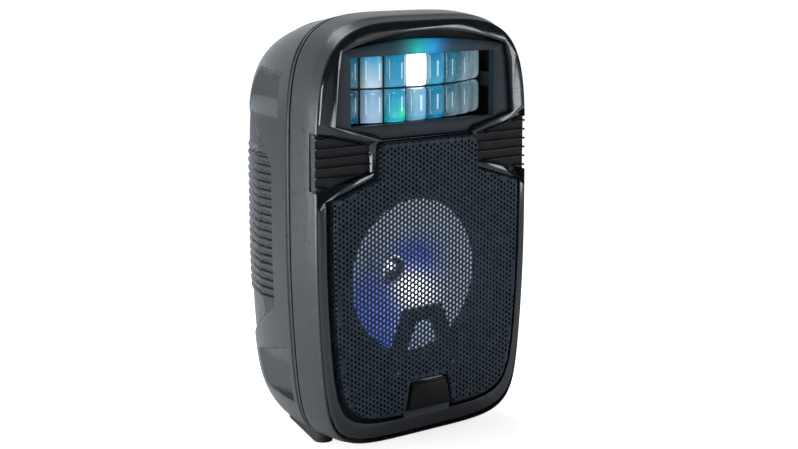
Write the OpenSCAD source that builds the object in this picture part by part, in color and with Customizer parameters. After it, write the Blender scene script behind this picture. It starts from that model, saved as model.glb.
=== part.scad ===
// Portable party speaker: 8 inch woofer, lens-array light effect, rear control panel.
// Millimetres, +Z up, the front faces -Y. Origin: on the floor, under the middle of the overall box.

/* [Body] */
// Width of the shells at the seam
body_w = 250; // [248:1:258]
// Height of the shells, without the feet
body_h = 400; // [397:1:408]
// Depth from the front rim to the rear face
body_d = 200; // [198:1:210]
// Wall thickness of the two shells
wall = 3; // [2.6:0.1:3.4]
// How far the rubber feet stand below the shells
foot_drop = 5; // [4:0.5:8]

/* [Front] */
// Depth of the gloss front frame
bezel_depth = 12; // [11:0.5:13]
// Distance from the rim to the grille and to the light window
rim_width = 15; // [13:0.5:16]
// Width of the gloss strip beside the grille
strip_w = 9; // [8:0.5:10]
// How far the grille stands in front of the rim
grille_proud = 5; // [4:0.5:7]
// Steel thickness of the grille
grille_steel = 1.2; // [1:0.1:1.5]
// Number of slats in each side louvre
slat_count = 6; // [4:1:6]

/* [Light effect] */
// Width of the light window
window_w = 168; // [150:1:168]
// Height of the light window
window_h = 62; // [58:1:62]
// Radius of the curve that the lenses stand on
lens_curve_r = 172; // [168:1:174]
// Columns of lenses on the curve
lens_columns = 9; // [7:2:9]
// Width of one lens
lens_w = 20.5; // [19:0.5:21]
// Height of one lens
lens_h = 30; // [27:0.5:30]

/* [Woofer] */
// Height of the woofer's axis above the floor
woofer_z = 157; // [155:1:158]
// Radius of the paper cone
cone_r = 75; // [73:1:76]
// Depth of the cone from its edge to its neck
cone_depth = 33; // [30:1:34]
// Radius of the dust cap
cap_r = 15; // [14.5:0.5:17]

/* [Controls] */
// Width of the rear control panel
panel_w = 104; // [102:1:106]
// Height of the rear control panel
panel_h = 194; // [190:1:198]
// Radius of the volume knob
volume_r = 13; // [11:0.5:14]
// Radius of the four small knobs
small_knob_r = 8; // [7:0.5:9]
// Travel of a push button
button_travel = 0.8; // [0.5:0.1:1]

/* [Hidden] */
$fn = 64;

// Depths are measured backwards from the front rim.
seam_d = 43;
gasket_t = 2;
front_end = seam_d - gasket_t / 2;
rear_start = seam_d + gasket_t / 2;
plate_back = bezel_depth + 4;
body_top = foot_drop + body_h;
run_gap = 0.05;

// Body outline: a bulged superellipse. The arch powers curve its top and bottom edges. The corner powers set
// how soon the sides turn in. It is squarer at the bottom than at the top.
top_arch = 4.1;
top_corner = 6;
bottom_arch = 4.8;
bottom_corner = 13;
top_bulge = 0.015;
bottom_bulge = 0.115;
corner_v = 0.92;
corner_steps = 7;
slice_t = 0.02;

// How far the sides, the top and the bottom of the rear shell draw in. A taper draws in evenly, a round mostly
// near the rear face.
side_taper = 18;
side_round = 42;
top_taper = 26;
top_round = 31;
bottom_round = 45;

// The skirt of the front shell, from behind the bezel to the seam.
skirt_in = 0.4;
skirt_top_in = 4;
skirt_d = bezel_depth + 10;

// Front rim.
rim_half_w = body_w / 2 - 0.9;
rim_top = body_top - 7.5;
rim_bottom = foot_drop + 5.5;
lip_bottom = foot_drop + 2.5;
lip_d = 1.8;
lip_t = 1.2;

// Light window, louvres and grille.
window_z = body_top - 69;
louvre_z = window_z - 60.5;
louvre_inner_x = 64;
louvre_inner_h = 24;
louvre_outer_h = 52;
notch_bevel = 4.5;
waist_x = 58.3;
waist_z = louvre_z - 18;
shoulder_slope = 0.31;
grille_top_z = window_z - 46;
grille_bottom_z = rim_bottom + 20.5;
badge_w = 51;
badge_top_w = 39;
badge_h = 25;
badge_z = grille_bottom_z + 2.5;

// Lenses.
lens_step = 8.2;
lens_front_d = 10;
lens_t = 9;
row_pitch = lens_h + 2;
carrier_t = 3;

// Swinging lamp.
swing_d = 78;
swing_plate_z = window_z - 44;
bracket_screw_x = 36;

// Woofer.
opening_r = 88;
basket_r = 103;
cone_edge_d = plate_back + 4.5;
neck_d = cone_edge_d + cone_depth;
coil_r = 12.8;
coil_t = 0.6;
front_plate_d = neck_d + 8.5;
spider_d = front_plate_d - 5;
front_plate_t = 5;
magnet_t = 15;
magnet_r = 45;

// Rear panel.
panel_z = foot_drop + 182;
panel_t = 2.5;
panel_d = body_d;
board_d = body_d - 22;
board_t = 1.6;
stem_r = 2;
button_r = 4.5;
knob_row_z = panel_z + 8;
small_row_z = panel_z - 18;
button_row_z = panel_z + 38;
jack_row_z = panel_z - 46;
power_row_z = panel_z - 72;
small_knob_x = 32;
button_pitch = 17;
jack_x = 30;
rocker_tilt = 9;
rocker_d = panel_d - 1;
rocker_x = -22;
screw_row = [-88, 0, 88];
panel_screw_x = panel_w / 2 - 3.5;
knob_gap = 0.6;
knob_t = 13;
pointer_lift = 0.8;
badge_lift = 0.5;

// The overall box runs from the badge to the pointer of a knob.
middle_d = (panel_d + panel_t + knob_gap + knob_t + pointer_lift - grille_proud - badge_lift) / 2;

screw_points = [[-72, body_top - 25], [72, body_top - 25], [-72, foot_drop + 17], [72, foot_drop + 17]];

function bulge_at(v) = 1 - (v < 0 ? bottom_bulge : top_bulge) * v * v;
function arch_at(v) = v < 0 ? bottom_arch : top_arch;
function corner_at(v) = v < 0 ? bottom_corner : top_corner;

// Shares of the outline: the width share at height share v, and the height share at width share u of an end.
// The end is 1 at the top and -1 at the bottom.
function side_u(v) = pow(1 - pow(min(abs(v), 1), corner_at(v)), 1 / arch_at(v));
function end_v(u, end) = end * pow(1 - pow(u, arch_at(end)), 1 / corner_at(end));

// Half-width of the outline at height share v, as a share of its widest.
function outline_share(v) = bulge_at(v) * side_u(v);

// Points [u, v] from the middle of the right side to the middle of the end. They stand closer at the corner.
function quarter(end) = concat(
    [for (i = [0:corner_steps - 1])
        let (v = end * corner_v * sin(90 * i / corner_steps)) [side_u(v), v]],
    [for (i = [0:corner_steps - 1])
        let (u = side_u(end * corner_v) * cos(90 * i / corner_steps)) [u, end_v(u, end)]]);

// Points from the right side over the end to the left side.
function half_outline(end) = let (q = quarter(end))
    concat(q, [[0, end]], [for (i = [len(q) - 1:-1:0]) [-q[i][0], q[i][1]]]);

top_half = half_outline(1);
bottom_half = half_outline(-1);
outline_shares = concat(top_half, [for (i = [len(bottom_half) - 2:-1:1]) bottom_half[i]]);

// Rear taper: half-width, top and bottom of the shell at depth d.
function taper(d) = max(0, (d - seam_d) / (body_d - seam_d));
function shell_half_w(d) = body_w / 2 - side_taper * taper(d) - side_round * pow(taper(d), 3);
function shell_top(d) = body_top - top_taper * taper(d) - top_round * pow(taper(d), 3);
function shell_bottom(d) = foot_drop + bottom_round * pow(taper(d), 3);

// Half-width of the shell at depth d and height z.
function shell_x(d, z) = shell_half_w(d)
    * outline_share((2 * z - shell_top(d) - shell_bottom(d)) / (shell_top(d) - shell_bottom(d)));

// Half-width of the front rim at height z.
function rim_x(z) =
    rim_half_w * outline_share((2 * z - rim_top - rim_bottom) / (rim_top - rim_bottom));

// Height of the grille's shoulder edge at distance x from the middle.
function shoulder_line(x) = waist_z - (x - waist_x) * shoulder_slope;

// Height of an arch over the window at distance x from the middle.
function arch(x, top, radius) = top - radius + sqrt(radius * radius - x * x);

// ---- Placing helpers ----

// Depth behind the front rim, as a Y coordinate.
function y_at(d) = d - middle_d;

// Extrudes a front view outline from depth d over thickness t.
module sheet(d, t) {
    translate([0, y_at(d + t), 0]) rotate([90, 0, 0]) linear_extrude(t) children();
}

// Cylinder along the depth, its front end at depth d.
module rod(x, z, d, length, r) {
    translate([x, y_at(d), z]) rotate([-90, 0, 0]) cylinder(h = length, r = r);
}

// Ring along the depth.
module ring(x, z, d, length, r, hole_r) {
    difference() {
        rod(x, z, d, length, r);
        rod(x, z, d - 1, length + 2, hole_r);
    }
}

// Box centred on x and z, from depth d over t.
module block(x, z, d, w, t, h) {
    translate([x - w / 2, y_at(d), z - h / 2]) cube([w, t, h]);
}

// Turns a profile of [radius, depth] points about the woofer's axis.
module woofer_turn() {
    translate([0, y_at(0), woofer_z]) rotate([-90, 0, 0]) rotate_extrude($fn = 128) children();
}

module both_sides() {
    children();
    mirror([1, 0, 0]) children();
}

// ---- Outlines, seen from the front ----

module outline(half_w, bottom, top) {
    middle = (top + bottom) / 2;
    half_h = (top - bottom) / 2;
    points = [for (s = outline_shares) [s[0] * half_w * bulge_at(s[1]), s[1] * half_h]];
    translate([0, middle]) polygon(points);
}

// Shell outline at depth d, drawn in by inset.
module shell_slice(d, inset) {
    sheet(d, slice_t) outline(shell_half_w(d) - inset, shell_bottom(d) + inset, shell_top(d) - inset);
}

// Skirt outline at depth d: side and top inset from the seam's outline, then drawn in by inset.
module skirt_slice(d, side_in, top_in, inset) {
    sheet(d, slice_t)
        outline(body_w / 2 - side_in - inset, foot_drop + 2 * side_in + inset, body_top - top_in - inset);
}

// Rim outline drawn in by inset.
module rim_outline(inset) {
    outline(rim_half_w - inset, rim_bottom + inset, rim_top - inset);
}

// Notch of the right louvre. The bevel widens its upper edge and its inner end.
module louvre_outline(bevel) {
    reach = body_w;
    slope = (louvre_outer_h - louvre_inner_h) / 2 / (rim_x(louvre_z) - louvre_inner_x);
    spread = louvre_inner_h / 2 + slope * reach;
    polygon([[louvre_inner_x - bevel, louvre_z - louvre_inner_h / 2],
        [louvre_inner_x, louvre_z - louvre_inner_h / 2],
        [louvre_inner_x + reach, louvre_z - spread],
        [louvre_inner_x + reach, louvre_z + spread + bevel],
        [louvre_inner_x - bevel, louvre_z + louvre_inner_h / 2 + bevel * (1 - slope)]]);
}

// Window opening of the bezel: sides follow the rim, the top is an arch.
module window_outline(top_gap, arch_r) {
    top = rim_top - top_gap;
    corner_x = rim_x(window_z + 22) - rim_width;
    right = [[53, window_z - 44.5], [57, window_z - 40], [rim_x(window_z) - rim_width - 1, window_z - 29],
        [corner_x, window_z + 19]];
    over = [for (i = [10:-1:-10]) [i / 10 * (corner_x - 4), arch(i / 10 * (corner_x - 4), top, arch_r)]];
    left = [for (i = [3:-1:0]) [-right[i][0], right[i][1]]];
    polygon(concat(right, over, left));
}

module grille_outline(inset) {
    well_outline(rim_width + inset, grille_bottom_z + inset, inset);
}

// Grille or the well round it: distance to the rim, bottom height and inset of the upper edges.
module well_outline(side, bottom, inset) {
    waist = waist_x - inset;
    right = [[rim_half_w, 0], [rim_half_w, shoulder_line(rim_half_w) - inset],
        [waist, shoulder_line(waist_x) - inset], [waist, grille_top_z - 5],
        [waist - 5, grille_top_z - inset]];
    left = [for (i = [len(right) - 1:-1:0]) [-right[i][0], right[i][1]]];
    difference() {
        intersection() {
            outline(rim_half_w - side, bottom, rim_top);
            polygon(concat(right, left));
        }
        badge_outline(3 + inset);
        translate([-badge_w / 2 - 3 - inset, 0]) square([badge_w + 6 + 2 * inset, badge_z]);
    }
}

module badge_outline(grow) {
    polygon([[-badge_w / 2 - grow, badge_z - grow],
        [badge_w / 2 + grow, badge_z - grow],
        [badge_top_w / 2 + grow, badge_z + badge_h + grow],
        [-badge_top_w / 2 - grow, badge_z + badge_h + grow]]);
}

// ---- Shells and front ----

// Solid rear body drawn in by inset, for the shell's outside, its inside and its core.
module rear_body(start, inset) {
    hull() {
        for (i = [0:8]) shell_slice(start + (body_d - slice_t - inset - start) * pow(i / 8, 0.75), inset);
    }
}

handle_d = 118;
handle_r = 8;
handle_z = shell_top(handle_d) - handle_r - 3;
pocket_w = 116;
pocket_len = 42;
pocket_floor_z = handle_z - handle_r - 22;
well_r = 4.5;
scoop_r = 40;
scoop_offset = 33;
high_scoop_d = 76;
low_scoop_d = 70;
low_scoop_z = foot_drop + 64;
rib_count = 18;
rib_pitch = 7.8;
rib_low = foot_drop + 130;
rib_depth = 1.4;

// Hollow at the right side of the rear shell, round depth d and height z.
module scoop(d, z) {
    translate([shell_x(d, z) + scoop_offset, y_at(d), z]) sphere(r = scoop_r);
}

module rear_shell() {
    color([0.13, 0.14, 0.15]) difference() {
        union() {
            difference() {
                rear_body(rear_start, 0);
                rear_body(rear_start - 1, wall);
            }
            // Closed pocket, screw wells, thick scoop walls and the battery's floor.
            intersection() {
                rear_body(rear_start, 0);
                union() {
                    block(0, pocket_floor_z + 50 - wall, handle_d - pocket_len / 2 - wall,
                        pocket_w + 2 * wall, pocket_len + 2 * wall, 100);
                    for (p = screw_points) rod(p[0], p[1], rear_start, body_d, well_r + wall);
                    both_sides() block(123.5, window_z, 48, 34, 56, 52);
                    both_sides() block(118, low_scoop_z, 48, 40, 48, 52);
                    block(0, (foot_drop + battery_z) / 2, 50, 136, 70, battery_z - foot_drop);
                    both_sides() for (z = screw_row) rod(panel_screw_x, panel_z + z, body_d - 12, 12, 4.5);
                }
            }
        }
        block(0, pocket_floor_z + 50, handle_d - pocket_len / 2, pocket_w, pocket_len, 100);
        for (p = screw_points) {
            rod(p[0], p[1], rear_start + 8, body_d, well_r);
            rod(p[0], p[1], rear_start - 1, 20, 1.8);
        }
        both_sides() scoop(high_scoop_d, window_z);
        both_sides() scoop(low_scoop_d, low_scoop_z);
        // Grooves that leave the ribs of the side grips.
        difference() {
            both_sides() for (i = [0:rib_count - 1])
                block(110, rib_low + i * rib_pitch, 72, 60, 76, rib_pitch / 2);
            rear_body(rear_start - 2, rib_depth);
        }
        block(0, panel_z, body_d - 20, panel_w - 14, 40, panel_h - 14);
        both_sides() translate([strap_screw_x, y_at(battery_d), battery_z - 3.5]) cylinder(h = 10, r = 1.3);
        both_sides() for (z = screw_row) rod(panel_screw_x, panel_z + z, body_d - 14, 20, 1.6);
    }
}

module front_shell() {
    color([0.13, 0.14, 0.15]) difference() {
        union() {
            difference() {
                hull() {
                    sheet(lip_d, slice_t) outline(rim_half_w, lip_bottom, rim_top);
                    skirt_slice(bezel_depth, skirt_in, skirt_top_in, 0);
                    skirt_slice(skirt_d, skirt_in / 4, skirt_top_in * 0.45, 0);
                    shell_slice(front_end - slice_t, 0);
                }
                hull() {
                    skirt_slice(plate_back, skirt_in, skirt_top_in, wall);
                    shell_slice(front_end + 1, wall);
                }
            }
            for (p = screw_points) rod(p[0], p[1], plate_back - 1, front_end - plate_back + 1, 5);
        }
        // Seat of the bezel behind the front lip, open at the louvres.
        sheet(0, bezel_depth) rim_outline(lip_t);
        sheet(0, bezel_depth) both_sides() louvre_outline(0);
        rod(0, woofer_z, 0, 30, opening_r);
        block(0, window_z, 0, window_w + 16, 30, window_h + 5);
        for (p = screw_points) rod(p[0], p[1], plate_back + 8, 30, 1.55);
        for (a = [45:90:315]) rod(97 * cos(a), woofer_z + 97 * sin(a), 0, 30, 1.8);
        both_sides() rod(carrier_screw_x, window_z, bezel_depth + 1, 20, 1.3);
        both_sides() rod(bridge_foot_x, bridge_base_z - 12, bezel_depth - 1, 20, 1.3);
        both_sides() rod(bracket_screw_x, swing_plate_z - 8, bezel_depth + 1, 20, 1.3);
    }
}

module seam_gasket() {
    color([0.03, 0.03, 0.03]) difference() {
        sheet(front_end, gasket_t) outline(body_w / 2 - 1.2, foot_drop + 1.2, body_top - 1.2);
        sheet(front_end - 1, gasket_t + 2) outline(body_w / 2 - 5, foot_drop + 5, body_top - 5);
    }
}

module front_bezel() {
    edge = 1.8;
    fit = lip_t + 0.1;
    color([0.02, 0.02, 0.03]) union() {
        difference() {
            hull() {
                sheet(0, slice_t) rim_outline(fit + edge);
                sheet(edge, slice_t) rim_outline(fit);
                sheet(bezel_depth - slice_t, slice_t) rim_outline(fit);
            }
            sheet(-1, bezel_depth + 2) window_outline(8.5, 292);
            sheet(-1, bezel_depth + 2) well_outline(strip_w, grille_bottom_z - 5, -1.2);
            sheet(-1, bezel_depth + 2) both_sides() louvre_outline(0);
            both_sides() notch_mouth();
        }
        // Raised pad that carries the badge.
        sheet(-grille_proud + 1.5, bezel_depth + grille_proud - 1.5) badge_outline(0.5);
    }
}

// Bevelled mouth of the right notch and the flat facets at its two outer corners.
module notch_mouth() {
    low_z = louvre_z - louvre_outer_h / 2;
    high_z = louvre_z + louvre_outer_h / 2;
    hull() {
        sheet(-slice_t, slice_t) louvre_outline(notch_bevel);
        sheet(notch_bevel, slice_t) louvre_outline(0);
    }
    facet([[rim_half_w + 0.5, 9, low_z - 2], [86, 0, low_z + 10], [rim_half_w - 2, -0.5, low_z - 17],
        [rim_half_w + 4, -4, low_z + 6]]);
    facet([[rim_half_w - 2, -0.5, high_z + 13], [96, 0, high_z - 2], [rim_half_w + 0.5, 6, high_z + 1],
        [rim_half_w + 4, -4, high_z - 4]]);
}

// Four-cornered cutter from points [x, depth, z]; the last point lies outside the corner that it cuts.
module facet(corners) {
    polyhedron([for (c = corners) [c[0], y_at(c[1]), c[2]]], [[0, 1, 2], [0, 3, 1], [1, 3, 2], [2, 3, 0]]);
}

// Six slats on a back plate, right-hand side.
module louvre() {
    back_d = bezel_depth - 2.5;
    pitch = louvre_outer_h / slat_count;
    color([0.06, 0.06, 0.07]) intersection() {
        union() {
            sheet(back_d, 2.5) offset(delta = -0.3) louvre_outline(0);
            intersection() {
                sheet(1.5, back_d - 1.5) offset(delta = -0.3) louvre_outline(0);
                for (i = [0:slat_count - 1])
                    block(body_w / 2, louvre_z + (i - (slat_count - 1) / 2) * pitch, 1.5, body_w, back_d, 3);
            }
        }
        sheet(0, bezel_depth) rim_outline(0);
    }
}

module louvre_right() {
    louvre();
}

module louvre_left() {
    mirror([1, 0, 0]) louvre();
}

// Perforated steel tray, drawn unperforated.
module grille() {
    depth = grille_proud + bezel_depth - 1;
    color([0.16, 0.18, 0.20]) difference() {
        sheet(-grille_proud, depth) grille_outline(0);
        sheet(-grille_proud + grille_steel, depth) grille_outline(grille_steel);
    }
}

module badge() {
    color([0.05, 0.05, 0.05]) sheet(-grille_proud - badge_lift, 2) badge_outline(0);
}

module window_panel() {
    color([0.15, 0.17, 0.19]) difference() {
        union() {
            sheet(4, 3) intersection() {
                window_outline(17, 590);
                offset(delta = -0.4) window_outline(8.5, 292);
            }
            block(0, window_z, 4, window_w + 5, bezel_depth - 4, window_h + 2);
        }
        block(0, window_z, 0, window_w, 20, window_h);
    }
}

// ---- Light effect ----

lens_side = (lens_columns - 1) / 2;
carrier_screw_x = lens_curve_r * sin(lens_side * lens_step) + 15.3;

// Puts a child that faces the front at each column of the lens curve.
module on_lens_curve() {
    centre_d = lens_front_d + lens_curve_r;
    for (c = [-lens_side:lens_side])
        translate([0, y_at(centre_d), window_z]) rotate([0, 0, c * lens_step])
            translate([0, -lens_curve_r, 0]) children();
}

// One pillow lens: a block whose front is a piece of a ball.
module pillow_lens() {
    ball_r = 24;
    intersection() {
        translate([-lens_w / 2, 0, -lens_h / 2]) cube([lens_w, lens_t, lens_h]);
        translate([0, ball_r, 0]) sphere(r = ball_r);
    }
}

module lenses() {
    color([0.75, 0.92, 0.95, 0.7]) for (row = [-0.5, 0.5])
        translate([0, 0, row * row_pitch]) on_lens_curve() pillow_lens();
}

// Corners of the faceted band behind the lenses; each flat stands at the given distance from the centre.
function carrier_line(distance) = [for (c = [-lens_side - 0.5:lens_side + 0.5])
    distance / cos(lens_step / 2) * [sin(c * lens_step), -cos(c * lens_step)]];

module lens_carrier() {
    back_r = lens_curve_r - lens_t - 0.02;
    front_line = carrier_line(back_r);
    back_line = carrier_line(back_r - carrier_t);
    ear_x = carrier_screw_x - 4.8;
    ear_d = lens_front_d + 44.5;
    color([0.04, 0.04, 0.05]) union() {
        difference() {
            translate([0, y_at(lens_front_d + lens_curve_r), window_z - row_pitch])
                linear_extrude(2 * row_pitch)
                    polygon(concat(front_line, [for (i = [len(back_line) - 1:-1:0]) back_line[i]]));
            for (row = [-0.5, 0.5]) translate([0, 0, row * row_pitch]) on_lens_curve()
                translate([-lens_w / 2 + 2, 0, -lens_h / 2 + 2]) cube([lens_w - 4, 2 * lens_t, lens_h - 4]);
        }
        // Ears that screw to the back of the front shell.
        both_sides() difference() {
            union() {
                block(ear_x - 4.5, window_z, ear_d - 3, 12, 3, 14);
                block(ear_x, window_z, plate_back, 3, ear_d - plate_back, 14);
                block(ear_x + 3.6, window_z, plate_back, 10.2, 3, 14);
            }
            rod(carrier_screw_x, window_z, plate_back - 1, 10, 1.6);
        }
    }
}

module swing_bracket() {
    color([0.55, 0.57, 0.6]) difference() {
        union() {
            block(0, swing_plate_z + 1.5, plate_back, 90, swing_d + 22 - plate_back, 3);
            block(0, swing_plate_z - 5, plate_back, 90, 2.5, 16);
        }
        both_sides() rod(bracket_screw_x, swing_plate_z - 8, plate_back - 1, 10, 1.6);
        translate([0, y_at(swing_d), swing_plate_z - 1]) cylinder(h = 6, r = 5);
    }
}

module swing_motor() {
    color([0.5, 0.5, 0.48]) difference() {
        union() {
            translate([0, y_at(swing_d), swing_plate_z - 20]) cylinder(h = 20, r = 16);
            translate([0, y_at(swing_d), swing_plate_z - 1]) cylinder(h = 5, r = 4.9);
        }
        translate([0, y_at(swing_d), swing_plate_z - 16]) cylinder(h = 30, r = 3 + run_gap);
    }
}

module swing_shaft() {
    color([0.8, 0.8, 0.82]) translate([0, y_at(swing_d), swing_plate_z - 15.5]) cylinder(h = 40, r = 3);
}

lamp_face_d = swing_d - 26;

module lamp_carriage() {
    color([0.08, 0.08, 0.09]) difference() {
        union() {
            translate([0, y_at(swing_d), swing_plate_z + 6]) cylinder(h = 16, r = 8);
            block(0, swing_plate_z + 10, lamp_face_d + 3.5, 14, swing_d - lamp_face_d - 3.5, 8);
            block(0, window_z - 2, lamp_face_d + 1.6, 72, 2.4, 56);
        }
        translate([0, y_at(swing_d), swing_plate_z]) cylinder(h = 60, r = 3 + run_gap / 2);
    }
}

module lamp_board() {
    color([0.05, 0.25, 0.12]) block(0, window_z, lamp_face_d, 68, 1.6, 48);
}

// Lamps with their round collimators, three columns by two rows.
module lamp_emitters() {
    color([0.6, 0.9, 1.0]) for (x = [-22, 0, 22], z = [-12, 12]) {
        translate([x, y_at(lamp_face_d - 9), window_z + z]) rotate([-90, 0, 0])
            cylinder(h = 9, r1 = 9, r2 = 4);
    }
}

bridge_d = 4;
bridge_t = 5;
bridge_top_z = woofer_z - 28;
bridge_base_z = woofer_z - 76;
bridge_foot_x = 33.5;

module led_bridge() {
    height = bridge_top_z - bridge_base_z;
    foot_h = 18;
    color([0.04, 0.04, 0.05]) union() {
        sheet(bridge_d, bridge_t) difference() {
            polygon([[-42, bridge_base_z], [42, bridge_base_z], [21.5, bridge_top_z], [-21.5, bridge_top_z]]);
            polygon([[-25, bridge_base_z - 1], [25, bridge_base_z - 1], [9, bridge_top_z - 13],
                [-9, bridge_top_z - 13]]);
        }
        // Feet that stand on the front shell below the opening.
        both_sides() difference() {
            block(bridge_foot_x, bridge_base_z - foot_h / 2 + 0.5, bridge_d,
                17, bezel_depth - bridge_d, foot_h + 1);
            rod(bridge_foot_x, bridge_base_z - 12, 0, 30, 1.5);
        }
    }
}

module bridge_lights() {
    z = bridge_top_z - 6.5;
    color([0.75, 0.9, 1.0]) union() {
        block(0, z, bridge_d + bridge_t, 34, 1.2, 10);
        for (x = [-11, 0, 11]) rod(x, z, bridge_d + bridge_t + 1, 2.4, 2.5);
    }
}

// ---- Woofer ----

module woofer_basket() {
    shelf_r = 42;
    color([0.12, 0.12, 0.12]) difference() {
        woofer_turn() polygon([[opening_r - 1, plate_back], [basket_r, plate_back],
            [basket_r, plate_back + 1.5], [opening_r + 3.5, plate_back + 1.5],
            [opening_r + 1.5, plate_back + 8], [66, front_plate_d - 8], [48, front_plate_d],
            [24, front_plate_d], [24, front_plate_d - 1.5],
            [shelf_r, front_plate_d - 1.5], [shelf_r, spider_d + 1], [shelf_r + 8, spider_d + 1],
            [64, front_plate_d - 9.5], [opening_r, plate_back + 7], [opening_r, plate_back + 3],
            [opening_r - 1, plate_back + 3]]);
        // Windows between the six spokes.
        for (a = [30:60:330]) translate([0, y_at(plate_back + 12), woofer_z]) rotate([0, a, 0])
            translate([52, 0, -14]) cube([50, 26, 28]);
        for (a = [45:90:315]) rod(97 * cos(a), woofer_z + 97 * sin(a), 0, 40, 1.8);
    }
}

module woofer_front_plate() {
    color([0.75, 0.75, 0.77]) ring(0, woofer_z, front_plate_d, front_plate_t, 40, coil_r + coil_t + 0.5);
}

module woofer_magnet() {
    color([0.2, 0.2, 0.21]) ring(0, woofer_z, front_plate_d + front_plate_t, magnet_t, magnet_r, 24);
}

module woofer_back_plate() {
    back_d = front_plate_d + front_plate_t + magnet_t;
    color([0.75, 0.75, 0.77]) union() {
        rod(0, woofer_z, back_d, 5, 40);
        rod(0, woofer_z, front_plate_d, back_d - front_plate_d + 1, coil_r - 0.4);
    }
}

module voice_coil() {
    color([0.75, 0.45, 0.2]) ring(0, woofer_z, neck_d - 1, 19, coil_r + coil_t, coil_r);
}

module woofer_cone() {
    neck_r = coil_r + coil_t;
    paper = 0.9;
    bow_r = (cone_r + neck_r) / 2 - 2;
    bow_d = cone_edge_d + cone_depth / 2 + 2;
    color([0.55, 0.57, 0.6]) woofer_turn() polygon([[neck_r, neck_d], [bow_r, bow_d], [cone_r, cone_edge_d],
        [cone_r, cone_edge_d + paper], [bow_r + 0.3, bow_d + paper + 0.3], [neck_r + 1, neck_d + 2.5],
        [neck_r, neck_d + 2.5]]);
}

// Shallow dome that closes the cone's neck from the front.
module dust_cap() {
    rise = 6;
    ball_r = (cap_r * cap_r + rise * rise) / (2 * rise);
    base_d = neck_d - 1.6;
    color([0.05, 0.05, 0.06]) difference() {
        intersection() {
            translate([0, y_at(base_d - rise + ball_r), woofer_z]) sphere(r = ball_r, $fn = 128);
            rod(0, woofer_z, base_d - rise - 1, rise + 1, cap_r);
        }
        translate([0, y_at(base_d - rise + ball_r), woofer_z]) sphere(r = ball_r - 0.8, $fn = 128);
    }
}

// Rubber half-roll between the cone's edge and the basket.
module surround() {
    inner = cone_r - 2;
    roll_r = (opening_r - 1.5 - cone_r) / 2;
    roll_mid = cone_r + roll_r;
    face_d = cone_edge_d - 1;
    color([0.03, 0.03, 0.03]) woofer_turn() difference() {
        union() {
            translate([roll_mid, face_d]) circle(r = roll_r);
            translate([inner, face_d]) square([opening_r - inner - 0.2, 1]);
        }
        translate([roll_mid, face_d]) circle(r = roll_r - 1);
        translate([roll_mid - roll_r, face_d + 1]) square([2 * roll_r, roll_r]);
    }
}

module spider() {
    inner = coil_r + coil_t;
    outer = 50;
    waves = 5;
    pitch = (outer - inner - 10) / waves;
    color([0.75, 0.6, 0.3]) woofer_turn() union() {
        translate([inner, spider_d]) square([outer - inner, 1]);
        for (i = [0:waves - 1]) translate([inner + 5 + i * pitch, spider_d + 0.5]) circle(r = 1.2, $fn = 24);
    }
}

module woofer_screws() {
    color([0.3, 0.3, 0.3]) for (a = [45:90:315]) {
        x = 97 * cos(a);
        z = woofer_z + 97 * sin(a);
        rod(x, z, bezel_depth - 2, 2, 3.4);
        rod(x, z, bezel_depth - 1, 11, 1.6);
    }
}

// ---- Handle, power and sound ----

module carry_handle() {
    color([0.08, 0.08, 0.08]) translate([-pocket_w / 2, y_at(handle_d), handle_z]) rotate([0, 90, 0])
        cylinder(h = pocket_w, r = handle_r);
}

battery_z = foot_drop + 11;
battery_d = 85;
strap_t = 1.2;
strap_screw_x = 57;
battery_size = [100, 58, 42];

module battery() {
    color([0.2, 0.25, 0.45]) translate([0, y_at(battery_d), battery_z + battery_size[2] / 2])
        cube(battery_size, center = true);
}

module battery_strap() {
    strap_w = 20;
    w = battery_size[0] + 0.4;
    h = battery_size[2] + 0.2;
    color([0.6, 0.6, 0.62]) union() {
        difference() {
            translate([-w / 2 - strap_t, y_at(battery_d) - strap_w / 2, battery_z])
                cube([w + 2 * strap_t, strap_w, h + strap_t]);
            translate([-w / 2, y_at(battery_d) - strap_w, battery_z - 1]) cube([w, 2 * strap_w, h + 1]);
        }
        both_sides() difference() {
            translate([w / 2, y_at(battery_d) - strap_w / 2, battery_z]) cube([12, strap_w, strap_t]);
            translate([strap_screw_x, y_at(battery_d), battery_z - 1]) cylinder(h = 5, r = 1.6);
        }
    }
}

// Small screws of the lens carrier, the swing bracket, the light bridge and the battery strap.
module inner_screws() {
    color([0.5, 0.5, 0.5]) both_sides() {
        rod(carrier_screw_x, window_z, plate_back + 3, 2, 3);
        rod(carrier_screw_x, window_z, bezel_depth + 1.5, 6, 1.2);
        rod(bracket_screw_x, swing_plate_z - 8, plate_back + 2.5, 2, 3);
        rod(bracket_screw_x, swing_plate_z - 8, bezel_depth + 1.5, 6, 1.2);
        rod(bridge_foot_x, bridge_base_z - 12, bridge_d - 2, 2, 3);
        rod(bridge_foot_x, bridge_base_z - 12, bridge_d - 1, plate_back - bridge_d, 1.2);
        translate([strap_screw_x, y_at(battery_d), battery_z + strap_t]) cylinder(h = 2, r = 3);
        translate([strap_screw_x, y_at(battery_d), battery_z - 3]) cylinder(h = 4.5, r = 1.2);
    }
}

module amp_board() {
    color([0.05, 0.3, 0.15]) difference() {
        block(0, panel_z, board_d, 84, board_t, 172);
        both_sides() for (z = [-80, 80]) rod(38, panel_z + z, board_d - 1, 5, 1.5);
    }
}

module heat_sink() {
    fins = 8;
    color([0.7, 0.7, 0.72]) union() {
        block(0, panel_z + 30, board_d - 3, 60, 3, 50);
        for (i = [0:fins - 1]) block(-28 + i * 8, panel_z + 30, board_d - 18, 1.6, 16, 50);
    }
}

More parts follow.
